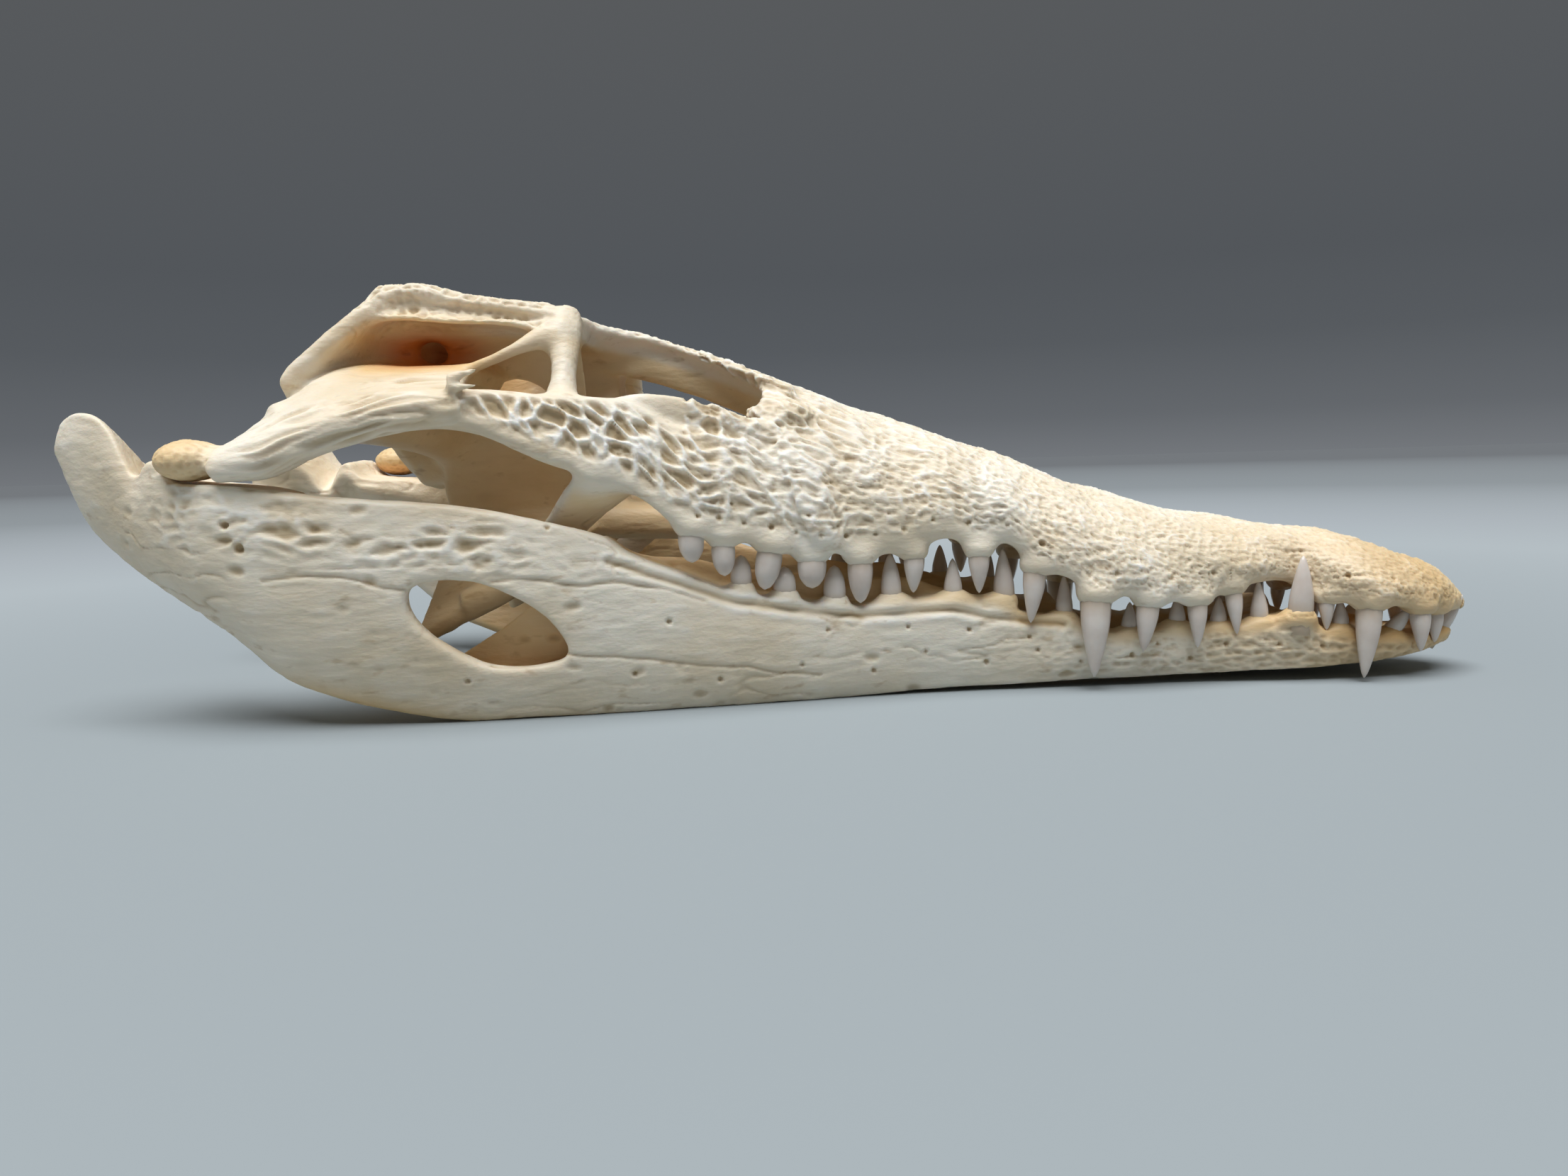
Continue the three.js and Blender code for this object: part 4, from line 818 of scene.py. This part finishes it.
def carve_jaw(points, normal):
    x, y, z = points.T
    outside = normal[:, 1] * np.sign(y) > 0.15
    below = jaw_top(x) - z
    wander = np.stack([soft_noise(points, 8, seed) for seed in (6, 7, 8)], -1)
    drop = np.zeros(len(points), np.float32)

    # A rough band along the upper back of the jaw, and shallow pits over its front half
    band = ease(x, -132, -120) * (1 - ease(x, -60, -30)) * bump(below, 8, 6) * outside
    uneven = points + wander * 1.3
    rough = ease(soft_noise(uneven, (13, 6, 5), 61), -0.35, 0.45)
    drop += pits(uneven, band, [8, 5, 2.8], 0.6, 27, 0.3) * (0.15 + 0.85 * rough) * 0.95
    drop += pits(uneven, band, [3.2, 2.4, 1.7], 0.7, 28) * rough * 0.3
    uneven = points + wander
    front = ease(x, 30, 100) * outside * ease(below, 0.5, 3) * ease(z, 1, 4)
    drop += pits(uneven, front, [5.5, 3, 2.0], 0.6, 33) * 0.4
    drop += pits(uneven, front, [2.2, 1.8, 1.5], 0.6, 34) * 0.3

    # A rough patch below the joint, and dimples scattered over the outer face
    patch = bump(x, -119, 10) * bump(z, 47, 6) * outside
    drop += pits(uneven, patch, [4.5, 4, 3], 0.6, 74, 0.3) * 0.6
    where = outside & (x < 110)
    p = uneven[where]
    near, _ = cells(p, (13, 9, 7.5), 71)
    drop[where] += 0.55 * (1 - ease(near, 0.05, 0.2))
    near, _ = cells(p, (7, 5, 4), 72)
    drop[where] += 0.25 * ease(soft_noise(p, 20, 73), 0, 0.5) * (1 - ease(near, 0.05, 0.25))

    drop += holes(points, outside, JAW_HOLES)
    for line in JAW_SEAMS:
        away = line_distance(points + 0.7 * wander, line)
        drop += outside * 0.45 * np.exp(-(away / 0.42) ** 2)
    away = line_distance(points + 0.4 * wander, LIP_GROOVE)
    drop += outside * 0.6 * np.exp(-(away / 0.7) ** 2)
    drop -= outside * 0.25 * np.exp(-((away - 1.6) / 0.8) ** 2)
    return drop


def grain(points):
    """Fine lengthwise grain, thin cracks and faint unevenness everywhere, in mm."""
    fine = soft_noise(points, (9, 1.3, 1.3), 41) * 0.09 + soft_noise(points, (4, 0.9, 0.9), 43) * 0.05
    crack = np.abs(soft_noise(points, (26, 7, 4.6), 45) + 0.25 * soft_noise(points, (6, 3, 2), 46))
    patchy = ease(soft_noise(points, 17, 48), 0.0, 0.5)
    return fine + 0.3 * patchy * (1 - ease(crack, 0.0, 0.08)) + soft_noise(points, 7, 47) * 0.14


def finish_bone(clay, carve, glow_and_shade_marks):
    """The skin after carving, with marks for the material at each point: depth, shade, and the amber of
    painted glow and shade.
    """
    points, quads = clay.skin()
    normal = normals(points, quads)
    depth = carve(points, normal) + grain(points)
    # Painted shade: how closely bone closes in around each point, used to darken the colour in hollows and
    # crevices
    shade = np.zeros(len(points), np.float32)
    for reach in (1.5, 3.5):
        shade += np.clip(1 - clay.sample(points + normal * reach) / reach, 0, 2) / 2
    marks = {"depth": depth, "shade": shade, "amber_glow_and_shade": glow_and_shade_marks(points, normal)}
    return points - normal * depth[:, None], quads, marks


def cranium_amber_glow_and_shade(points, normal):
    """Painted glow and shade in amber, behind the cheeks, in the sockets, on the undersides, in the ear and
    in the spinal opening, where light would shine through thin bone and shade falls; on the joint the amber
    is the cap's own colour.
    """
    x, y, z = points.T
    side = np.abs(y)
    ceiling = np.where(x < -45, 85.2, forehead_edge(x) - 5)
    inner = ease(cranium_width(x) - side, 9, 19) * (1 - ease(x, -10, 4))
    inner = inner * ease(x, -92, -84) * ease(ceiling - z, 0, 2)
    mouth = ease(-normal[:, 2], 0.1, 0.7) * ease(cranium_width(x) - side, 2, 6) * (z < 60)
    from_ear = norm((np.stack([x, side, z], -1) - MEATUS) / [1.6, 2.5, 0.8], axis=1)
    ear = np.exp(-(from_ear / 7.5) ** 2)
    inside = np.exp(-(norm(points - SPINAL_OPENING - [8, 0, 0], axis=1) / 8) ** 2)
    cap = joint_cap(points, 0, 10, 3) * ease(-x, 109, 118)
    return np.clip(0.5 * np.maximum(inner, mouth) + 1.9 * ear + 0.55 * cap + inside, 0, 2)


def jaw_amber_glow_and_shade(points, normal):
    """Painted glow and shade in amber on the inner faces of the lower jaw, and painted shade along the top
    edge of its front half.
    """
    x, y, z = points.T
    within = ease(jaw_outer(x) - np.abs(y), 4, 8) * (1 - ease(x, 100, 130))
    # Painted shade along the top edge of the jaw's front half, where the mouth closes
    mouth_edge_shade = 0.5 * ease(x, 0, 50) * ease(np.abs(y), 2, 6) * ease(z - jaw_top(x), -4, 0)
    return np.maximum(within * (0.12 + 0.58 * ease(x, -112, -88)), mouth_edge_shade)


# Into Blender

def to_frame(points):
    """From the measuring frame in mm to the part's frame in metres, kept inside the solid model's box."""
    moved = (points + [SHIFT, 0, 0]) * MM
    return np.clip(moved, cad_low + INSET, cad_high - INSET)


def place_object(name, data):
    """A new object in the scene."""
    thing = bpy.data.objects.new(name, data)
    bpy.context.scene.collection.objects.link(thing)
    return thing


def make_object(name, points, faces, material, marks):
    mesh = bpy.data.meshes.new(name)
    faces = np.asarray(faces)
    mesh.vertices.add(len(points))
    mesh.vertices.foreach_set("co", to_frame(points).astype(np.float32).ravel())
    mesh.loops.add(faces.size)
    mesh.loops.foreach_set("vertex_index", faces.astype(np.int32).ravel())
    mesh.polygons.add(len(faces))
    mesh.polygons.foreach_set("loop_start", np.arange(0, faces.size, faces.shape[1], dtype=np.int32))
    mesh.polygons.foreach_set("use_smooth", np.ones(len(faces), bool))
    mesh.update(calc_edges=True)
    for label, values in marks.items():
        layer = mesh.attributes.new(label, "FLOAT", "POINT")
        layer.data.foreach_set("value", values.astype(np.float32))
    thing = place_object(name, mesh)
    mesh.materials.append(material)
    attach(thing, "root")
    return thing


def node_maker(owner):
    owner.use_nodes = True
    tree = owner.node_tree
    tree.nodes.clear()

    def add(kind, inputs=None, **settings):
        node = tree.nodes.new("ShaderNode" + kind)
        for key, value in settings.items():
            setattr(node, key, value)
        for key, value in (inputs or {}).items():
            if hasattr(value, "links"):
                tree.links.new(value, node.inputs[key])
            else:
                node.inputs[key].default_value = value
        return node

    return add


def ramp(add, value, *stops):
    node = add("ValToRGB", {"Fac": value})
    band = node.color_ramp
    while len(band.elements) < len(stops):
        band.elements.new(0.5)
    for element, (place, colour) in zip(band.elements, stops):
        element.position = place
        element.color = (*colour, 1)
    return node.outputs["Color"]


def ramp_value(add, value, low, high):
    node = add("MapRange", {"Value": value, "From Min": low, "From Max": high})
    return node.outputs["Result"]


def mark(add, label):
    """A mark that the mesh carries at each point."""
    return add("Attribute", attribute_name=label).outputs["Fac"]


def noise(add, place, scale, detail):
    return add("TexNoise", {"Vector": place, "Scale": scale, "Detail": detail}).outputs["Fac"]


def mixed(add, share, first, second, kind="MIX"):
    node = add("MixRGB", {"Fac": share, "Color1": first, "Color2": second}, blend_type=kind)
    return node.outputs["Color"]


def surface(add, sockets):
    body = add("BsdfPrincipled", sockets)
    add("OutputMaterial", {"Surface": body.outputs["BSDF"]})


def bone_material():
    material = bpy.data.materials.new("dry_bone")
    add = node_maker(material)
    place = add("TexCoord").outputs["Object"]
    depth, shade = mark(add, "depth"), mark(add, "shade")
    amber_glow_and_shade = ramp_value(add, mark(add, "amber_glow_and_shade"), 0.0, 2.0)
    base = ramp(add, noise(add, place, 38.0, 5.0),
                (0.32, (0.74, 0.62, 0.44)), (0.5, (0.83, 0.73, 0.57)), (0.68, (0.87, 0.80, 0.67)))
    # Painted highlight: the raised ridges of the carving whiter
    ridge_highlight = mixed(add, ramp_value(add, depth, -0.05, -0.45), base, (0.91, 0.88, 0.81, 1))
    # Painted shade: darker brown the deeper the carving sinks into pits
    pit_shade = mixed(add, ramp_value(add, depth, 0.08, 0.8), ridge_highlight, (0.56, 0.43, 0.26, 1))
    stretched = add("Mapping", {"Vector": place, "Scale": (0.35, 1.0, 1.0)}).outputs["Vector"]
    specks = ramp_value(add, noise(add, stretched, 420.0, 3.0), 0.62, 0.74)
    speckled = mixed(add, specks, pit_shade, (0.50, 0.36, 0.21, 1))
    # The dark specks at a little over half strength, over the painted highlight and shade
    specks_shade_and_highlight = mixed(add, 0.55, pit_shade, speckled)
    # Painted glow and shade: the amber mark tints the colour amber and darker where light would shine
    # through thin bone and where shade falls; on the joint's cap it is the cap's own amber
    amber = ramp(add, amber_glow_and_shade, (0.0, (1.0, 1.0, 1.0)), (0.3, (0.95, 0.78, 0.53)), (1.0, (0.74, 0.25, 0.05)))
    # Painted shade: darker brown where bone closes in around the surface, in hollows and crevices
    painted_hollow_shade = mixed(add, ramp_value(add, shade, 0.6, 1.7), specks_shade_and_highlight, (0.46, 0.31, 0.16, 1))
    warmed = mixed(add, 1.0, painted_hollow_shade, amber, "MULTIPLY")

    # The front end is a little browner
    forward = add("SeparateXYZ", {"Vector": place}).outputs["X"]
    browner = mixed(add, 1.0, warmed, (0.90, 0.76, 0.56, 1), "MULTIPLY")
    warmed = mixed(add, ramp_value(add, forward, 0.095, 0.15), warmed, browner)
    fine = noise(add, stretched, 1500.0, 4.0)
    relief = add("Bump", {"Height": fine, "Strength": 0.45, "Distance": 0.0003}).outputs["Normal"]
    surface(add, {
        "Base Color": warmed, "Roughness": 0.5, "Normal": relief, "Subsurface Weight": 0.2,
        "Subsurface Radius": (0.003, 0.0016, 0.0008), "Subsurface Scale": 1.0, "Specular IOR Level": 0.4})
    return material


def tooth_material():
    material = bpy.data.materials.new("tooth_enamel")
    add = node_maker(material)
    place = add("TexCoord").outputs["Object"]
    crown = ramp(add, noise(add, place, 160.0, 3.0), (0.3, (0.63, 0.54, 0.47)), (0.7, (0.74, 0.68, 0.62)))
    colour = mixed(add, mark(add, "root"), crown, (0.62, 0.48, 0.34, 1))
    surface(add, {
        "Base Color": colour, "Roughness": 0.28, "Subsurface Weight": 0.3,
        "Subsurface Radius": (0.002, 0.0014, 0.001), "Subsurface Scale": 1.0})
    return material


def teeth_object(name, table, sides, node, material):
    points, faces, root = [], [], []
    start = 0
    for side in sides:
        for entry in table:
            rings = tooth_points(entry) * [1, -side, 1]
            corner, quads = loft(rings)
            quads = quads[:, ::-1] if side == RIGHT else quads
            points.append(corner)
            faces.append(quads + start)
            share = np.linspace(0, 1, len(corner) // rings.shape[1])
            root.append(np.repeat(1 - ease(share, 0.12, 0.4), rings.shape[1]))
            start += len(corner)
    piece = make_object(name, np.concatenate(points), np.concatenate(faces), material,
                        {"root": np.concatenate(root)})
    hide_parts(*node)


bone = bone_material()
enamel = tooth_material()

points, quads, marks = finish_bone(cranium_clay().mirrored(), carve_cranium, cranium_amber_glow_and_shade)
cranium = make_object("cranium", points, quads, bone, marks)
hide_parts("snout", "snout_front", "braincase", "palate", "cheek_right", "cheek_left")

points, quads, marks = finish_bone(jaw_clay(), carve_jaw, jaw_amber_glow_and_shade)
jaw_right = make_object("lower_jaw_right", points, quads, bone, marks)
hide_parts("jaw_right")
jaw_left = make_object("lower_jaw_left", points * [1, -1, 1], quads[:, ::-1], bone, marks)
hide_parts("jaw_left")

teeth_object("upper_teeth", UPPER_TEETH, (RIGHT, LEFT), ["snout", "snout_front"], enamel)
teeth_object("lower_teeth_right", LOWER_TEETH, (RIGHT,), ["jaw_right"], enamel)
teeth_object("lower_teeth_left", LOWER_TEETH, (LEFT,), ["jaw_left"], enamel)


# Camera, measured from the photo: a wide phone lens about 0.29 m away, level with the top of the lower jaw
PICTURE_WIDTH, FOCAL_PIXELS = 2212, 1620
YAW, PITCH, ROLL = (math.radians(angle) for angle in (4.0, 6.2, 1.6))
CAMERA_AWAY, CAMERA_HEIGHT = 288.0, 53.9
SENSOR = 36.0

# The pale room: colours by distance from the middle of the floor, where a paler ring and the darkening far
# away are painted light, colours by height in the sky, and one light
FLOOR_RADIUS, FLOOR_FADE = 60.0, 6.0
FLOOR_TONE_AND_PAINTED_LIGHT = [
    (0.03, (0.302, 0.336, 0.35)), (0.08, (0.355, 0.39, 0.405)), (0.12, (0.325, 0.352, 0.37)),
    (0.27, (0.215, 0.235, 0.245)), (1.0, (0.13, 0.138, 0.145))]
SKY_COLOURS = [
    (0.0, (0.17, 0.182, 0.197)), (0.033, (0.127, 0.137, 0.15)), (0.094, (0.095, 0.104, 0.115)),
    (0.155, (0.086, 0.094, 0.104)), (0.4, (0.10, 0.105, 0.11)), (1.0, (0.24, 0.225, 0.2))]
LIGHT_STRENGTH, LIGHT_COLOUR = 4.0, (0.96, 0.985, 1.02)
LIGHT_TILT, LIGHT_TURN, LIGHT_WIDTH = (math.radians(angle) for angle in (14, -12, 45))


def place_camera():
    sideways = np.array([math.cos(YAW), math.sin(YAW), 0])
    level = np.array([-math.sin(YAW), math.cos(YAW), 0])
    ahead = level * math.cos(PITCH) + np.array([0, 0, -1]) * math.sin(PITCH)
    above = np.cross(sideways, ahead)
    right = sideways * math.cos(ROLL) - above * math.sin(ROLL)
    up = above * math.cos(ROLL) + sideways * math.sin(ROLL)
    spot = (-level * CAMERA_AWAY + np.array([SHIFT, 0, CAMERA_HEIGHT])) * MM
    lens = bpy.data.cameras.new("photo_camera")
    lens.sensor_width = SENSOR
    lens.lens = SENSOR * FOCAL_PIXELS / PICTURE_WIDTH
    lens.clip_start = 0.01
    camera = place_object("photo_camera", lens)
    matrix = np.eye(4)
    matrix[:3] = np.stack([right, up, -ahead, spot], 1)
    camera.matrix_world = Matrix(matrix.tolist())
    bpy.context.scene.camera = camera


def pale_floor(sides=96):
    """A wide round floor with a painted paler ring and painted falloff that darkens it far away, so that it
    meets the backdrop without an edge.
    """
    turn = turns(sides)
    corners = [(FLOOR_RADIUS * math.cos(a), FLOOR_RADIUS * math.sin(a), 0.0) for a in turn]
    mesh = bpy.data.meshes.new("floor")
    mesh.from_pydata(corners, [], [tuple(range(sides))])
    floor = place_object("floor", mesh)
    material = bpy.data.materials.new("pale_floor")
    add = node_maker(material)
    place = add("TexCoord").outputs["Object"]
    away = add("VectorMath", {"Vector": place}, operation="LENGTH").outputs["Value"]
    colour = ramp(add, ramp_value(add, away, 0.0, FLOOR_FADE), *FLOOR_TONE_AND_PAINTED_LIGHT)
    surface(add, {"Base Color": colour, "Roughness": 0.7, "Specular IOR Level": 0.1})
    mesh.materials.append(material)
    floor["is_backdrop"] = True


def top_light():
    """A wide soft light, tilted a little away from straight down."""
    light = bpy.data.lights.new("top_light", "SUN")
    light.energy = LIGHT_STRENGTH
    light.color = LIGHT_COLOUR
    light.angle = LIGHT_WIDTH
    place_object("top_light", light).rotation_euler = (LIGHT_TILT, 0, LIGHT_TURN)


def studio():
    world = bpy.data.worlds.new("studio")
    bpy.context.scene.world = world
    add = node_maker(world)
    direction = add("TexCoord").outputs["Generated"]
    rise = add("SeparateXYZ", {"Vector": direction}).outputs["Z"]
    colour = ramp(add, rise, *SKY_COLOURS)
    sky = add("Background", {"Color": colour})
    add("OutputWorld", {"Surface": sky.outputs["Background"]})
    top_light()
    bpy.context.scene.view_settings.view_transform = "Standard"


place_camera()
pale_floor()
studio()
